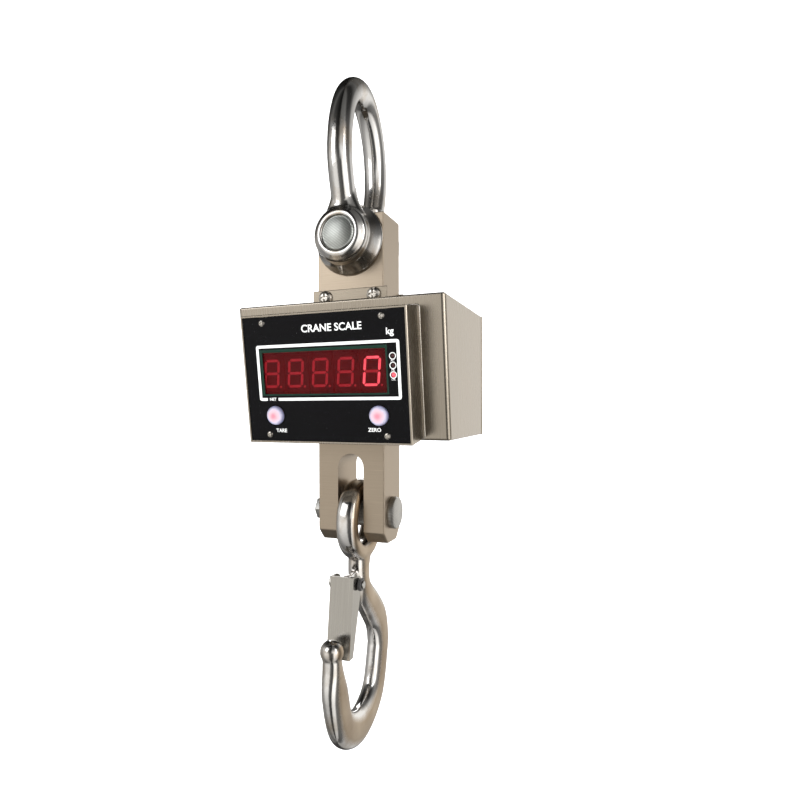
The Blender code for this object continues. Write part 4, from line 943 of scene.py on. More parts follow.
@dataclass
class LeaningFace:
    """The display face: its origin is the middle of the enclosure's top front edge."""

    origin: Vector = field(init=False)
    up: Vector = field(init=False)
    out: Vector = field(init=False)
    panel_out: float = field(init=False)

    def __post_init__(self) -> None:
        """Read the face's lean from the buttons' travel, and its place from the boxes of its nodes."""
        inward = Vector(joint("tare_press")["axis"]).normalized()
        self.out = -inward
        self.up = Vector((0, -inward.z, inward.y))
        low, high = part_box("housing_shell")
        self.origin = Vector((0, low.y, high.z))
        self.panel_out = float(self.reach("panel_plate")[1][2])

    @property
    def axes(self) -> np.ndarray:
        """The directions across, up and out of the face, as rows."""
        return np.array([(1.0, 0.0, 0.0), tuple(self.up), tuple(self.out)])

    def reach(self, node: str) -> tuple[np.ndarray, np.ndarray]:
        """How far a CAD node reaches on the face.

        Args:
            node: The node's name.

        Returns:
            The lowest and the highest (across, up, out) of its points.
        """
        mesh = FRAME["nodes"][node].data
        points = np.empty(len(mesh.vertices) * 3)
        mesh.vertices.foreach_get("co", points)
        flat = (points.reshape(-1, 3) - np.array(self.origin)) @ self.axes.T
        return flat.min(axis=0), flat.max(axis=0)

    def at(self, across: float, up: float, out: float) -> Vector:
        """The world place of a spot on the face."""
        return self.origin + Vector((across, 0, 0)) + self.up * up + self.out * out

    def matrix(self, across: float, up: float, out: float) -> Matrix:
        """What carries something drawn in its own XY plane to a spot on the face."""
        turn = Matrix((Vector((1, 0, 0)), self.up, self.out)).transposed()
        return Matrix.Translation(self.at(across, up, out)) @ turn.to_4x4()

    def spots(self, flat: np.ndarray) -> np.ndarray:
        """World places of many (across, up, out) spots."""
        return np.asarray(self.origin) + flat @ self.axes

    def raised(self, line: np.ndarray, out: float) -> np.ndarray:
        """World places of (across, up) points, all as far out of the face."""
        return self.spots(np.column_stack([line, np.full(len(line), out)]))


def wear(piece: bpy.types.Object, finish: Finish) -> None:
    """Give a piece a finish, whose material is built the first time that it is needed.

    Args:
        piece: The piece.
        finish: The finish.
    """
    if finish.name not in MADE:
        MADE[finish.name] = finish.build()
    piece.data.materials.clear()
    piece.data.materials.append(MADE[finish.name])


def put(piece: bpy.types.Object, body: str, finish: Finish, replaces: Sequence[str] = ()) -> None:
    """Dress a piece, let it ride on its body and hide the CAD nodes that it stands for.

    Args:
        piece: The piece.
        body: The body that it rides on.
        finish: Its finish.
        replaces: The CAD nodes that it takes the place of.
    """
    wear(piece, finish)
    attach(piece, body)
    if replaces:
        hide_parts(*replaces)
    LOG.info("%s rides on %s", piece.name, body)


def refit(node: str, body: str, finish: Finish, edge: float = 0.0) -> None:
    """Put a refined and dressed copy in a CAD node's place."""
    put(refined(node, edge), body, finish, [node])


def dress(finish: Finish, *nodes: str) -> None:
    """Give CAD nodes that are kept a better material."""
    for node in nodes:
        wear(FRAME["nodes"][node], finish)


def corner_screws(stem: str) -> None:
    """Refit the four screws at the corners of a plate."""
    for hand in HANDS:
        for row in ("upper", "lower"):
            refit(f"{stem}_{hand}_{row}", "scale_body", SCREW, 0.00015)


# ---- Shackle ----
@dataclass
class Shackle:
    """The bow with its ears, its pin and the pin's set screws."""

    rod_radius: float = 0.014
    flare: float = 0.012
    widest_z: float = -0.072
    rim_radius: float = 0.026
    ear_radius: float = 0.032
    ear_foot_radius: float = 0.041
    ear_gap: float = 0.001
    ear_rounding: float = 0.0045
    pin_radius: float = 0.019
    bore_radius: float = 0.0194
    leg_above_pin: float = 0.0065
    root_inset: float = 0.0001
    root_width: float = 0.026
    root_depth: float = 0.0142
    root_rise: float = 0.028
    root_foot: float = 0.022
    root_power: float = 1.8
    face_radius: float = 0.0165
    face_step: float = 0.0002
    pin_chamfer: float = 0.0012

    def build(self) -> None:
        """Make the pieces and dress them."""
        self.bow()
        self.pin()
        for where in ENDS:
            refit(f"pin_set_screw_{where}", "shackle", DARK_STEEL, 0.0002)

    def bow(self) -> None:
        """The rod, with an ear at each end and a root where each leg widens into its ear."""
        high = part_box("shackle_bow")[1]
        pin_z = pivot_of("scale_swing").z
        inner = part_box("load_cell_bar")[1].y + self.ear_gap
        bow_y = high.y - self.rod_radius
        leg_y = bow_y - self.flare
        leg_end = pin_z + self.pin_radius + self.leg_above_pin
        parts = [self.rod((leg_y, leg_end), (bow_y, self.widest_z), high.z - self.rod_radius)]
        for side in (-1, 1):
            parts.append(self.ear(side, inner, pin_z))
            parts.append(self.leg_root(side * leg_y, leg_end + self.root_rise, pin_z + self.root_foot))
        put(forged("shackle_bow_forging", parts, 5), "shackle", FORGING, ["shackle_bow"])

    def rod(self, leg: tuple[float, float], wide: tuple[float, float], crown: float) -> bpy.types.Object:
        """A circle along four Bezier spans: up one leg, over the crown and down the other.

        Args:
            leg: The (Y, Z) of a leg's end.
            wide: The (Y, Z) where the bow is widest.
            crown: The height of the middle line at the crown.

        Returns:
            The rod.
        """
        run = wide[1] - leg[1]
        ease = QUARTER_HANDLE * (crown - wide[1])
        legs = [leg, (leg[0], leg[1] + run * 0.40), (wide[0], wide[1] - run * 0.42), wide]
        arch = [wide, (wide[0], wide[1] + ease), (QUARTER_HANDLE * wide[0], crown), (0.0, crown)]
        half = np.array([legs, arch])
        t = np.linspace(0, 1, 40)[None, :, None]
        start, first, second, end = (half[:, index, None] for index in range(4))
        curve = (1 - t) ** 3 * start + 3 * t * (1 - t) ** 2 * first + 3 * t**2 * (1 - t) * second + t**3 * end
        rising = np.vstack([curve[0], curve[1][1:]])
        line = np.vstack([rising * (-1, 1), rising[::-1][1:]])
        path = np.column_stack([np.zeros(len(line)), line])
        return surface("bow_rod", swept(path, X_AXIS, circle(self.rod_radius, 40)))

    def ear(self, side: int, inner: float, height: float) -> bpy.types.Object:
        """A turned boss: a chamfered bore, a rim round it and a foot that spreads towards the bar.

        Args:
            side: -1 for the front and 1 for the rear.
            inner: How far from the middle its inner face is.
            height: The height of its bore.

        Returns:
            The ear.
        """
        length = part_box("shackle_pin")[1].y - inner
        ear, foot = self.ear_radius, self.ear_foot_radius
        profile = [
            (self.bore_radius, length - 0.0012),
            (self.bore_radius + 0.0012, length),
            (self.rim_radius - 0.0015, length),
            (self.rim_radius + 0.0015, length - 0.0028),
            (ear - 0.0012, length - 0.0052),
            (ear, length - 0.0095),
            (ear - 0.0012, length * 0.50),
            (ear + 0.0030, length * 0.30),
            (foot - 0.0022, length * 0.13),
            (foot, length * 0.05),
            (foot, 0.0),
            (self.bore_radius, 0.0),
        ]
        shape = rounded(profile, self.ear_rounding, 5, closed=True)
        return turned(f"ear_{side}", shape, Vector((0, side * inner, height)), (0, side, 0), 72, ring=True)

    def leg_root(self, leg_y: float, top: float, foot: float) -> bpy.types.Object:
        """An ellipse carried down a leg, which grows with a power of the way down.

        Args:
            leg_y: The Y of the leg.
            top: The height where it leaves the rod.
            foot: The height where it ends in the ear.

        Returns:
            The root.
        """
        share = np.linspace(0, 1, 16)[:, None]
        spread = share**self.root_power
        thin = (self.rod_radius - self.root_inset) * (1 - spread)
        section = np.stack([thin + self.root_width * spread, thin + self.root_depth * spread], axis=-1)
        start, end = np.array((0, leg_y, top)), np.array((0, leg_y, foot))
        return surface("leg_root", swept(start + (end - start) * share, X_AXIS, section * circle(1.0, 40)))

    def pin(self) -> None:
        """A turned pin with a chamfer and a flat that stands a little proud on each end."""
        low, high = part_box("shackle_pin")
        radius, end = (high.x - low.x) / 2, high.y
        half = [
            (0.0, end),
            (self.face_radius, end),
            (self.face_radius + 0.0003, end - self.face_step),
            (radius - self.pin_chamfer, end - self.face_step),
            (radius, end - self.pin_chamfer),
        ]
        profile = half + [(r, -h) for r, h in reversed(half)]
        piece = turned("shackle_pin_turned", profile, Vector((0, 0, (low.z + high.z) / 2)), (0, 1, 0))
        put(piece, "shackle", SHACKLE_PIN, ["shackle_pin"])


# ---- The load cell bar and its brackets ----
@dataclass
class LoadBar:
    """The bar that carries the load, with its brackets, covers and the hook's pin."""

    shank_radius: float = 0.0175
    thread_radius: float = 0.008
    thread_depth: float = 0.0005
    grooves: int = 18

    def build(self) -> None:
        """Refine the bar and brackets, and turn the pin that holds the hook."""
        refit("load_cell_bar", "scale_body", COLUMN)
        for where in ENDS:
            refit(f"angle_bracket_{where}", "scale_body", BRACKET, 0.0003)
            for hand in HANDS:
                refit(f"bracket_screw_{where}_{hand}", "scale_body", SCREW, 0.0002)
        for hand in HANDS:
            refit(f"gauge_cover_{hand}", "scale_body", ZINC, 0.0002)
        dress(RUBBER, "cell_cable")
        dress(DARK_PLASTIC, "cell_cable_gland")
        self.hook_pin()

    def hook_pin(self) -> None:
        """The pin's head has a rounded edge and a faced end; its washer and nut are on the left."""
        low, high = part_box("hook_pin")
        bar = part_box("load_cell_bar")[1].x
        head, thread, end = (high.z - low.z) / 2, self.thread_radius, high.x
        profile = [(0, end), (head - 0.0030, end), (head - 0.0008, end - 0.0010), (head, end - 0.0028)]
        profile += [(head, bar + 0.0003), (self.shank_radius, bar + 0.0003)]
        profile += [(self.shank_radius, 0.001 - bar), (thread, 0.001 - bar)]
        places = np.linspace(-bar - 0.0005, low.x + 0.0012, self.grooves)
        ridge = np.where(np.arange(self.grooves) % 2 == 0, thread, thread - self.thread_depth)
        profile += list(zip(ridge.tolist(), places.tolist())) + [(thread - 0.0012, low.x), (0, low.x)]
        piece = turned("hook_pin_turned", profile, Vector((0, 0, (low.z + high.z) / 2)), (1, 0, 0))
        put(piece, "scale_body", HOOK_PIN, ["hook_pin"])
        for node in ("hook_pin_washer", "hook_pin_nut"):
            refit(node, "scale_body", ZINC, 0.0003)


# ---- Enclosure ----
@dataclass
class Enclosure:
    """The sheet box, its rear cover and all that it holds."""

    bead_radius: float = 0.0009
    bead_gap: float = 0.55
    bead_lift: float = 0.7
    bead_corner: float = 0.003
    bead_points: int = 900
    ripples_per_metre: float = 520.0
    ripple: float = 0.16
    drift: float = 0.10

    def build(self, face: LeaningFace) -> None:
        """Refine the sheet pieces, add the weld bead and dress what is inside.

        Args:
            face: The display face.
        """
        refit("housing_shell", "scale_body", SHEET)
        refit("front_frame", "scale_body", SHEET, 0.0004)
        refit("rear_cover", "scale_body", COVER, 0.0004)
        self.weld_bead(face)
        dress(RUBBER, "cover_gasket")
        corner_screws("cover_screw")
        refit("charge_socket", "scale_body", DARK_PLASTIC, 0.0003)
        refit("charge_cap", "scale_body", RUBBER, 0.0004)
        dress(BOARD, "main_board", "display_board")
        dress(DARK_PLASTIC, "radio_module", "tare_switch", "zero_switch")
        refit("battery", "scale_body", CASE)
        refit("battery_strap", "scale_body", ZINC, 0.0003)

    def weld_bead(self, face: LeaningFace) -> None:
        """A bead round the frame's foot: a circle whose radius swells with a sine along the path.

        Args:
            face: The display face.
        """
        low, high = face.reach("front_frame")
        gap = self.bead_radius * self.bead_gap
        half = float(high[0]) + gap
        top, bottom = float(high[1]) + gap, float(low[1]) - gap
        outline = rounded_box(-half, half, top, bottom, self.bead_corner, 6)
        closed = np.vstack([outline, outline[:1]])
        reach = np.concatenate([[0.0], np.cumsum(np.linalg.norm(np.diff(closed, axis=0), axis=1))])
        places = np.linspace(0, reach[-1], self.bead_points, endpoint=False)
        flat = np.column_stack([np.interp(places, reach, closed[:, axis]) for axis in (0, 1)])
        path = face.raised(flat, self.bead_radius * self.bead_lift)
        swell = 1 + self.ripple * np.sin(places * self.ripples_per_metre * math.tau)
        swell += self.drift * np.sin(places * 61.0) * np.sin(places * 23.0)
        section = circle(self.bead_radius, 10)[None] * swell[:, None, None]
        points = swept(path, np.array(face.out), section, looped=True)
        bead = surface("frame_weld_bead", points, wrap_rows=True)
        put(bead, "scale_body", SCREW)


# ---- Display ----
@dataclass
class Display:
    """The panel with its printing, window, digits, lamps, screws and buttons."""

    face: LeaningFace
    digit_height: float = 0.0305
    digit_width: float = 0.0186
    digit_middle: float = -0.0750
    digit_shift: float = -0.0014
    stroke: float = 0.0027
    split: float = 0.00055
    lean: float = 0.115
    point_radius: float = 0.0013
    point_place: tuple[float, float] = (0.0024, -0.0004)
    lip: float = 0.00022
    lip_inset: float = 0.0004
    outline: tuple[float, float, float, float] = (-0.0783, 0.0854, -0.0440, -0.1040)
    outline_width: float = 0.0031
    label_gap: tuple[float, float] = (-0.0685, -0.0550)
    border: tuple[float, float, float, float] = (-0.0742, 0.0722, -0.0489, -0.0985)
    border_edge: float = 0.0004
    lamp_across: float = 0.0777
    lamp_up: tuple[float, float, float] = (-0.0603, -0.06975, -0.0792)
    lamp_ring: tuple[float, float] = (0.0036, 0.0028)
    lamp_label_drop: float = 0.0046
    dome_radius: float = 0.0102
    dome_rise: float = 0.0045
    flange_edge: float = 0.0004
    flange_rise: tuple[float, float, float] = (0.0018, 0.0015, 0.0011)
    collar: tuple[float, float] = (0.0022, 0.0007)
    collar_height: float = 0.0004

    def build(self) -> None:
        """Make everything on the display side."""
        refit("panel_plate", "scale_body", PANEL, 0.0002)
        refit("window_filter", "scale_body", FILTER, 0.0003)
        self.printing()
        for index in range(5):
            self.digit(index, lit=index == 4)
        for index, finish in enumerate((LAMP_OFF, LAMP_OFF, LAMP_ON)):
            refit(f"indicator_led_{index + 1}", "scale_body", finish)
            middle = (self.lamp_across, self.lamp_up[index])
            outer, inner = (circle(radius, 40) + middle for radius in self.lamp_ring)
            self.inlay(f"printed_lamp_ring_{index + 1}", outer, inner, WHITE_INK)
        corner_screws("panel_screw")
        for name in ("tare", "zero"):
            self.button(name)

    def inlay(
        self,
        name: str,
        outer: np.ndarray,
        inner: np.ndarray,
        finish: Finish,
        base: float = 0.0,
        height: float = PRINT_HEIGHT,
    ) -> None:
        """A thin flat band between two outlines of the same number of points.

        Args:
            name: The object's name.
            outer: The outer outline's (across, up) points.
            inner: The inner outline's.
            finish: Its finish.
            base: How far its underside is above the panel.
            height: How thick it is.
        """
        low, high = self.face.panel_out + base, self.face.panel_out + base + height
        rings = ((outer, low), (outer, high), (inner, high), (inner, low))
        made = surface(name, np.stack([self.face.raised(line, out) for line, out in rings]), wrap_rows=True)
        shade(made, False)
        put(made, "scale_body", finish)

    def lettering(
        self, name: str, words: str, height: float, across: float, up: float, bold: float = 0.0
    ) -> None:
        """Printed words, centred on a spot of the face, a hair above it.

        Args:
            name: The object's name.
            words: What they say.
            height: The height of the type.
            across: The middle of the words, across the face.
            up: The middle of the words, up the face.
            bold: How much wider the strokes are made.
        """
        curve = bpy.data.curves.new(name, "FONT")
        curve.body = words
        curve.size = height * TYPE_SIZE
        curve.align_x, curve.align_y = "CENTER", "CENTER"
        curve.extrude = PRINT_HEIGHT / 2
        curve.offset = bold
        curve.resolution_u = 6
        flat = linked(name, curve)
        bpy.context.view_layer.update()
        made = evaluated_copy(flat, name)
        made.data.transform(self.face.matrix(across, up, self.face.panel_out + PRINT_HEIGHT / 2))
        put(made, "scale_body", WHITE_INK)

    def printing(self) -> None:
        """The white outline with its gap, the green border and the words."""
        left, right, top, bottom = self.outline
        half, thick = self.outline_width / 2, PRINT_HEIGHT / 2
        left, right, top, bottom = left + half, right - half, top - half, bottom + half
        centre = [(left, bottom), (left, top), (right, top), (right, bottom)]
        centre = [(self.label_gap[0], bottom), *centre, (self.label_gap[1], bottom)]
        path = self.face.raised(np.array(rounded(centre, 0.0012, 5)), self.face.panel_out + thick)
        section = np.array([(thick, -half), (thick, half), (-thick, half), (-thick, -half)])
        line = surface("printed_window_frame", swept(path, np.array(self.face.out), section))
        shade(line, False)
        put(line, "scale_body", WHITE_INK)
        low, high = self.face.reach("window_filter")
        edge = self.border_edge
        outer = rounded_box(*self.border, 0.0006, 5)
        inner = rounded_box(low[0] - edge, high[0] + edge, high[1] + edge, low[1] - edge, 0.0006, 5)
        self.inlay("printed_green_border", outer, inner, GREEN_INK, height=PRINT_HEIGHT * 0.6)
        self.lettering("printed_title", "CRANE SCALE", 0.0078, 0.0124, -0.0290, 0.0002)
        self.lettering("printed_unit", "kg", 0.0066, 0.0760, -0.0360, 0.0002)
        self.lettering("printed_tare_label", "TARE", 0.0040, -0.0540, -0.1368, 0.0001)
        self.lettering("printed_zero_label", "ZERO", 0.0040, 0.0545, -0.1350, 0.0001)
        self.lettering("printed_stable_label", "NET", 0.0032, -0.0618, -0.1025, 0.0001)
        for index, words in enumerate(("AC", "PK", "OK")):
            up = self.lamp_up[index] - self.lamp_label_drop
            self.lettering(f"printed_lamp_label_{index + 1}", words, 0.0022, self.lamp_across, up)

    def digit(self, index: int, lit: bool) -> None:
        """A module's face with a lip round it, and on it the segments.

        Args:
            index: Which module, from 0 on the left.
            lit: Whether it shows a 0, rather than nothing.
        """
        node = f"digit_module_{index + 1}"
        refit(node, "scale_body", MODULE, 0.0003)
        low, high = self.face.reach(node)
        out = float(high[2])
        outer, inner = (
            rounded_box(low[0] + inset, high[0] - inset, high[1] - inset, low[1] + inset, 0.0003, 5)
            for inset in (self.lip_inset, self.lip_inset + self.lip)
        )
        rise = out - self.face.panel_out + 0.00001
        self.inlay(f"digit_lip_{index + 1}", outer, inner, MODULE_EDGE, rise, 0.0001)
        shapes = self.segments()
        middle = (float(low[0] + high[0]) / 2 + self.digit_shift, self.digit_middle)
        lit_count = 6 if lit else 0
        for word, finish, group in (
            ("lit", SEGMENT_LIT, shapes[:lit_count]),
            ("dim", SEGMENT_DIM, shapes[lit_count:]),
        ):
            if len(group):
                across, up = group[..., 0], group[..., 1]
                leaning = np.stack([across + up * self.lean, up], axis=-1) + middle
                self.tiles(f"digit_{index + 1}_{word}", leaning, out, finish)

    def segments(self) -> np.ndarray:
        """The outlines of the six segments of a 0, then of the middle segment and the point.

        Each segment is a bar with pointed ends: six points, as the point's circle has.

        Returns:
            Eight outlines round the figure's middle, upright.
        """
        point = self.stroke / 2
        half_w, half_h = self.digit_width / 2 - point, self.digit_height / 2 - point
        level = [(0, half_h), (0, -half_h), (0, 0)]
        upright = [(-half_w, half_h / 2), (half_w, half_h / 2), (-half_w, -half_h / 2), (half_w, -half_h / 2)]
        bars = []
        for reach, places in ((half_w - self.split, level), (half_h / 2 - self.split, upright)):
            end = reach - point
            upper = [(-reach, 0), (-end, point), (end, point)]
            bar = np.array(upper + [(-x, -y) for x, y in upper])
            bars.append([(bar[:, ::-1] if places is upright else bar) + place for place in places])
        across, down = self.point_place
        dot = circle(self.point_radius, 6) + (self.digit_width / 2 + across, down - half_h)
        return np.stack([bars[0][0], bars[0][1], *bars[1], bars[0][2], dot])

    def tiles(self, name: str, outlines: np.ndarray, out: float, finish: Finish) -> None:
        """Thin flat tiles in one mesh, each the prism of an outline.

        Args:
            name: The object's name.
            outlines: The (across, up) points of each tile, the same number for each.
            out: How far out of the face they lie.
            finish: Their finish.
        """
        count, sides = outlines.shape[:2]
        flat = outlines.reshape(-1, 2)
        layers = [self.face.raised(flat, out + lift).reshape(count, sides, 3) for lift in (0.00002, 0.00012)]
        base = np.arange(count)[:, None] * 2 * sides
        ring = np.arange(sides)[None]
        beside = (ring + 1) % sides
        walls = np.stack([base + ring, base + beside, base + sides + beside, base + sides + ring], axis=-1)
        tops, undersides = base + sides + ring, base + ring[:, ::-1]
        faces = walls.reshape(-1, 4).tolist() + tops.tolist() + undersides.tolist()
        piece = mesh_object(name, np.stack(layers, axis=1), faces, smooth=False)
        put(piece, "scale_body", finish)

    def button(self, name: str) -> None:
        """A frosted dome: a flattened quarter circle turned about the button's travel, with its flange.

        Args:
            name: Which button.
        """
        node = f"{name}_button"
        low, high = self.face.reach(node)
        middle = (float(low[0] + high[0]) / 2, float(low[1] + high[1]) / 2)
        flange, top, foot = float(high[0] - low[0]) / 2, float(high[2]), float(low[2])
        radius, rise = self.dome_radius, self.dome_rise
        t = np.linspace(0, math.pi / 2, 24)
        dome = np.column_stack([radius * np.sin(t), top - rise + rise * np.cos(t)])
        high_at, edge_at, side_at = (foot + rise for rise in self.flange_rise)
        profile = dome.tolist() + [(radius, high_at), (flange - self.flange_edge, edge_at)]
        profile += [(flange, side_at), (flange, foot), (0.0, foot)]
        piece = turned(f"{name}_button_dome", profile, self.face.at(*middle, 0), self.face.out, 72)
        finish = FrostedButton(f"button_frosted_{name}", self.face.at(*middle, top - 0.001), radius)
        put(piece, node, finish, [node])
        outer, inner = (circle(radius + wider, 64) + middle for wider in self.collar)
        self.inlay(f"{name}_button_collar", outer, inner, PANEL, height=self.collar_height)


# ---- Hook and latch ----
@dataclass
class Hook:
    """The forged hook with its eye, tip ball and lug, and the latch's bolt, nut and spring."""

    eye_bore: float = 0.028
    eye_radius: float = 0.048
    eye_width: float = 0.025
    eye_hang: float = 0.0102
    eye_power: float = 0.78
    bowl_depth: float = 0.1771
    bowl_offset: float = -0.008
    bowl_radius: float = 0.044
    half_width: float = 0.020
    half_bottom: float = 0.0205
    half_thickness: float = 0.0115
    ball_radius: float = 0.0129
    ball_inset: float = 0.013
    neck_radius: float = 0.0098
    back: tuple[tuple[float, float, float], ...] = (
        (0.0575, 0.022, 0.0202),
        (0.050, 0.044, 0.0205),
        (0.030, 0.066, 0.0190),
        (0.002, 0.094, 0.0155),
        (-0.004, 0.118, 0.0150),
    )
    half_at_eye: float = 0.0195
    tip_rise: float = 0.0475
    section_power: float = 2.3
    lug_radius: float = 0.0085
    lug_half: float = 0.0035
    rib_half: float = 0.0078
    rib_start_y: float = 0.006
    rib_end: tuple[float, float] = (-0.002, 0.001)
    bolt_bore: float = 0.0044
    coil_radius: float = 0.0063
    wire_radius: float = 0.0009
    coil_turns: float = 3.0

    def build(self) -> None:
        """Make the forging and dress the fittings of the latch."""
        parts = [*self.body_and_ends(), *self.latch_seat()]
        put(forged("hook_forging", parts, 6), "hook", HOOK_FORGING, ["hook"])
        refit("latch_bolt", "hook", ZINC, 0.0002)
        refit("latch_nut", "hook", DARK_STEEL, 0.0002)
        self.spring()

    def stations(self, eye_z: float) -> np.ndarray:
        """The middle line from tip to eye.

        Args:
            eye_z: The height of the eye's middle.

        Returns:
            Rows of Y, Z, half width and half thickness.
        """
        bowl_z = eye_z - self.bowl_depth
        ball_y = self.bowl_offset - self.bowl_radius - 2 * self.half_width + self.ball_inset
        ball_z = bowl_z + self.tip_rise
        thick = self.half_thickness
        rows = [(ball_y, ball_z, self.neck_radius, self.neck_radius)]
        rows.append((ball_y + 0.0015, ball_z - 0.018, 0.0118, 0.0105))
        side, bottom = self.half_width, self.half_bottom
        swell = (side + bottom) / 2
        for degrees, width in ((180, side), (225, swell), (270, bottom), (315, swell), (360, side)):
            angle, reach = math.radians(degrees), self.bowl_radius + width
            y, z = self.bowl_offset + reach * math.cos(angle), bowl_z + reach * math.sin(angle)
            rows.append((y, z, width, thick))
        rows += [(y, bowl_z + up, width, thick) for y, up, width in self.back]
        rows.append((0.0, eye_z - (self.eye_bore + self.eye_radius) / 2, self.half_at_eye, thick))
        return np.array(rows)

    def body_and_ends(self) -> list[bpy.types.Object]:
        """A superellipse carried along the middle line, the eye that it runs into and the ball at its tip.

        Returns:
            The body, the eye and the ball.
        """
        eye_z = pivot_of("hook_swing").z - self.eye_hang
        stations = self.stations(eye_z)
        line = smooth_through(stations, 14)
        path = np.column_stack([np.zeros(len(line)), line[:, :2]])
        # The section's first axis is the hook's thickness, across X, and its second is its width.
        section = line[:, None, [3, 2]] * superellipse(48, 2 / self.section_power)[:, ::-1]
        body = surface("hook_body", swept(path, X_AXIS, section))
        bore, rim = self.eye_bore, self.eye_radius
        ring = ((rim - bore) / 2, self.eye_width / 2) * superellipse(40, self.eye_power)
        eye = turned("hook_eye", ring + ((bore + rim) / 2, 0), Vector((0, 0, eye_z)), X_AXIS, 96, ring=True)
        theta = np.linspace(0, math.pi, 24)
        half_circle = self.ball_radius * np.column_stack([np.sin(theta), np.cos(theta)])
        tip = Vector((0, stations[0, 0], stations[0, 1]))
        return [body, eye, turned("hook_ball", half_circle, tip, X_AXIS, 48)]

    def latch_seat(self) -> list[bpy.types.Object]:
        """A bored lug for the latch's bolt, and a rib that joins it to the shank.

        Returns:
            The lug and the rib.
        """
        pivot = pivot_of("latch_open")
        half = self.lug_half
        bore, rim = self.bolt_bore, self.lug_radius
        corners = [(bore, half), (rim, half), (rim, -half), (bore, -half)]
        lug = turned("latch_lug", rounded(corners, 0.0008, 3, closed=True), pivot, X_AXIS, 48, ring=True)
        start = np.array((0, pivot.y + self.rib_start_y, pivot.z))
        end = np.array((0, self.rib_end[0], pivot.z + self.rib_end[1]))
        path = start + (end - start) * np.linspace(0, 1, 12)[:, None]
        deep = self.rib_half
        corners = [(half, deep), (half, -deep), (-half, -deep), (-half, deep)]
        section = rounded(corners, 0.0012, 3, closed=True)
        return [lug, surface("latch_rib", swept(path, X_AXIS, np.array(section)))]

    def spring(self) -> None:
        """A helix about the bolt: the angle and the place along X grow together."""
        low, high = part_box("latch_spring")
        pivot = pivot_of("latch_open")
        share = np.linspace(0, 1, 160)
        angle = share * self.coil_turns * math.tau
        radial = np.column_stack([0 * share, np.cos(angle), np.sin(angle)])
        x = low.x + self.wire_radius + (high.x - low.x - 2 * self.wire_radius) * share
        path = np.column_stack([x, pivot.y + 0 * share, pivot.z + 0 * share]) + self.coil_radius * radial
        coil = surface("latch_spring_coil", swept(path, radial, circle(self.wire_radius, 12)))
        put(coil, "hook", DARK_STEEL, ["latch_spring"])


@dataclass
class Latch:
    """The sprung sheet latch across the hook's mouth."""

    edge: float = 0.0004

    def build(self) -> None:
        """Refine the folded sheet, with its edges eased."""
        refit("safety_latch", "latch", LATCH, self.edge)


# ---- Studio ----
@dataclass(frozen=True)
class SoftBox:
    """A large, soft area light."""

    name: str
    place: tuple[float, float, float]
    aim: tuple[float, float, float]
    size: tuple[float, float]
    power: float
    mirrored: bool = True

    def build(self) -> None:
        """Place the light and turn it towards its aim."""
        light = bpy.data.lights.new(self.name, "AREA")
        light.shape = "RECTANGLE"
        light.size, light.size_y = self.size
        light.energy = self.power
        lamp = linked(self.name, light)
        lamp.location = self.place
        lamp.visible_glossy = self.mirrored
        lamp.rotation_euler = (Vector(self.aim) - Vector(self.place)).to_track_quat("-Z", "Y").to_euler()


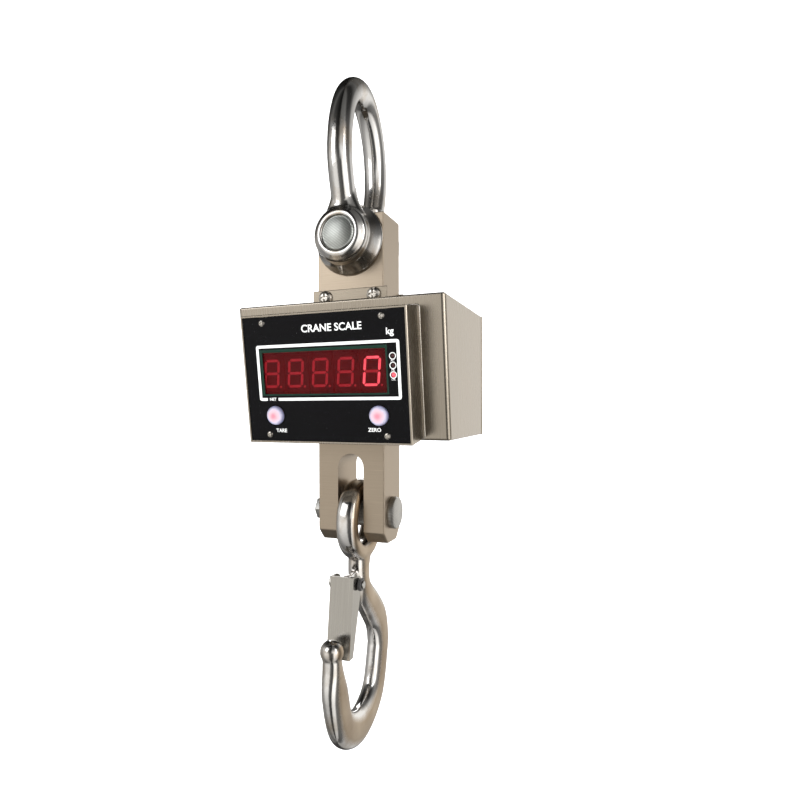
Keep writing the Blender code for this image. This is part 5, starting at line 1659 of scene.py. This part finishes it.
@dataclass
class Studio:
    """A pale floor, soft lights and the camera."""

    yaw: float = 23.16
    tilt: float = -0.27
    roll: float = -0.19
    lens: float = 27.217
    shift: tuple[float, float] = (0.05625, 0.0125)
    place: tuple[float, float, float] = (0.2781, -0.66405, -0.3582)
    floor_z: float = -1.25
    floor_radius: float = 3.4
    floor_bend: float = 1.2
    wall_height: float = 4.0
    paper_glow: float = 0.70
    band_strength: float = 1.15
    low_bands: tuple[tuple[float, float], ...] = (
        (-180, 0.25), (-150, 0.50), (-130, 0.85), (-102, 0.85), (-90, 0.14), (-56, 0.06),
        (-45, 1.30), (-10, 1.40), (4, 0.22), (30, 0.22), (46, 0.88), (88, 0.90), (104, 0.10),
        (146, 0.14), (162, 0.50), (180, 0.25),
    )
    high_bands: tuple[tuple[float, float], ...] = (
        (-180, 0.30), (-166, 0.80), (-150, 0.70), (-136, 0.30), (-122, 0.26), (-96, 0.10),
        (-72, 0.05), (-60, 1.0), (-22, 1.15), (-6, 0.22), (24, 0.18), (48, 0.90), (80, 0.90),
        (112, 0.08), (150, 0.08), (180, 0.30),
    )
    heights: tuple[tuple[float, float], ...] = (
        (0.0, 0.30), (0.22, 0.70), (0.42, 1.0), (0.62, 1.0), (0.74, 0.50), (0.84, 0.15),
        (1.0, 0.08),
    )

    def build(self) -> None:
        """Make the camera, the floor, the lights and the surroundings that the steel reflects."""
        camera = bpy.data.cameras.new("camera")
        camera.lens = self.lens
        camera.shift_x, camera.shift_y = self.shift
        camera.clip_start = 0.01
        view = linked("camera", camera)
        turn = Matrix.Translation(self.place)
        for degrees, axis in ((self.yaw, "Z"), (90 + self.tilt, "X"), (self.roll, "Z")):
            turn = turn @ Matrix.Rotation(math.radians(degrees), 4, axis)
        view.matrix_world = turn
        bpy.context.scene.camera = view
        self.floor()
        middle = (0.0, 0.0, -0.36)
        for box in (
            SoftBox("key_light", (-1.3, -1.9, 0.75), middle, (1.4, 1.4), 13),
            SoftBox("right_light", (1.9, -0.75, 0.2), middle, (0.5, 1.6), 8),
            SoftBox("top_light", (-0.1, -0.3, 1.6), middle, (1.4, 1.0), 14, mirrored=False),
            SoftBox("rear_light", (-0.7, 2.0, 0.6), middle, (1.4, 1.2), 14),
        ):
            box.build()
        bpy.context.scene.view_settings.view_transform = "Standard"
        self.surroundings()

    def floor(self) -> None:
        """A pale dish: a flat disc, a quarter circle up and an upright wall, turned about Z."""
        t = np.linspace(0, math.pi / 2, 16)
        bend = self.floor_bend
        curve = self.floor_radius - bend + bend * np.sin(t)
        reach = np.concatenate([[0.001, 1.2], curve, [self.floor_radius]])
        rise = np.concatenate([[0.0, 0.0], bend - bend * np.cos(t), [self.wall_height]])
        flat = reach[:, None, None] * circle(1.0, 96)
        height = np.broadcast_to(rise[:, None, None] + self.floor_z, (*flat.shape[:2], 1))
        mesh = bpy.data.meshes.new("floor")
        faces = grid_faces(*flat.shape[:2], wrap_rows=False)[:, ::-1]
        mesh.from_pydata(np.concatenate([flat, height], axis=-1).reshape(-1, 3).tolist(), [], faces.tolist())
        mesh.shade_smooth()
        floor = linked("floor", mesh)
        graph = Graph("studio_paper")
        speck = graph.noise((90, 90, 90), 2.0)
        graph.set(Base_Color=graph.blend(speck, (0.80, 0.80, 0.80), (0.84, 0.84, 0.84)), Roughness=0.9)
        graph.set(Emission_Color=(1.0, 1.0, 1.0), Emission_Strength=self.paper_glow)
        floor.data.materials.append(graph.material)
        floor.visible_glossy = False

    def surroundings(self) -> None:
        """What the steel reflects: bright and dark upright bands, dimmer overhead and underfoot.

        One ramp over the bearing, from due left through the front, right and back, holds for what is
        below, and another for what is above. Their blend is multiplied by a ramp over the height.
        """
        world = bpy.data.worlds.new("surroundings")
        bpy.context.scene.world = world
        world.use_nodes = True
        graph = Graph.around(world.node_tree, world.node_tree.nodes["Background"])
        spot = graph.value("ShaderNodeTexCoord", output="Generated")
        parts = graph.node("ShaderNodeSeparateXYZ", {}, {0: spot})
        x, y, z = (Value(graph, parts.outputs[index]) for index in range(3))
        bearing = graph.value("ShaderNodeMath", {"operation": "ARCTAN2"}, {0: y, 1: x})
        bearing = bearing.between(-math.pi, math.pi)
        around = []
        for bands in (self.low_bands, self.high_bands):
            stops = [((degrees + 180) / 360, (level, level * 0.99, level * 0.97)) for degrees, level in bands]
            around.append(graph.value("ShaderNodeValToRGB", {"stops": stops}, {0: bearing}))
        level = graph.blend(z.between(0.08, 0.30), *around)
        stops = [(place, (level * 1.0, level * 0.985, level * 0.96)) for place, level in self.heights]
        height = graph.value("ShaderNodeValToRGB", {"stops": stops}, {0: z.between(-1.0, 1.0)})
        settings = {"data_type": "RGBA", "blend_type": "MULTIPLY"}
        both = graph.node("ShaderNodeMix", settings, {0: 1.0, 6: level, 7: height})
        graph.set(Color=Value(graph, both.outputs[2]), Strength=self.band_strength)


def main() -> None:
    """Load the frame, then build the studio and each sub-assembly in turn."""
    logging.basicConfig(level=logging.INFO, format="%(message)s")
    FRAME.update(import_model())
    Studio().build()
    face = LeaningFace()
    Shackle().build()
    LoadBar().build()
    Enclosure().build(face)
    Display(face).build()
    Hook().build()
    Latch().build()


if __name__ == "__main__":
    main()
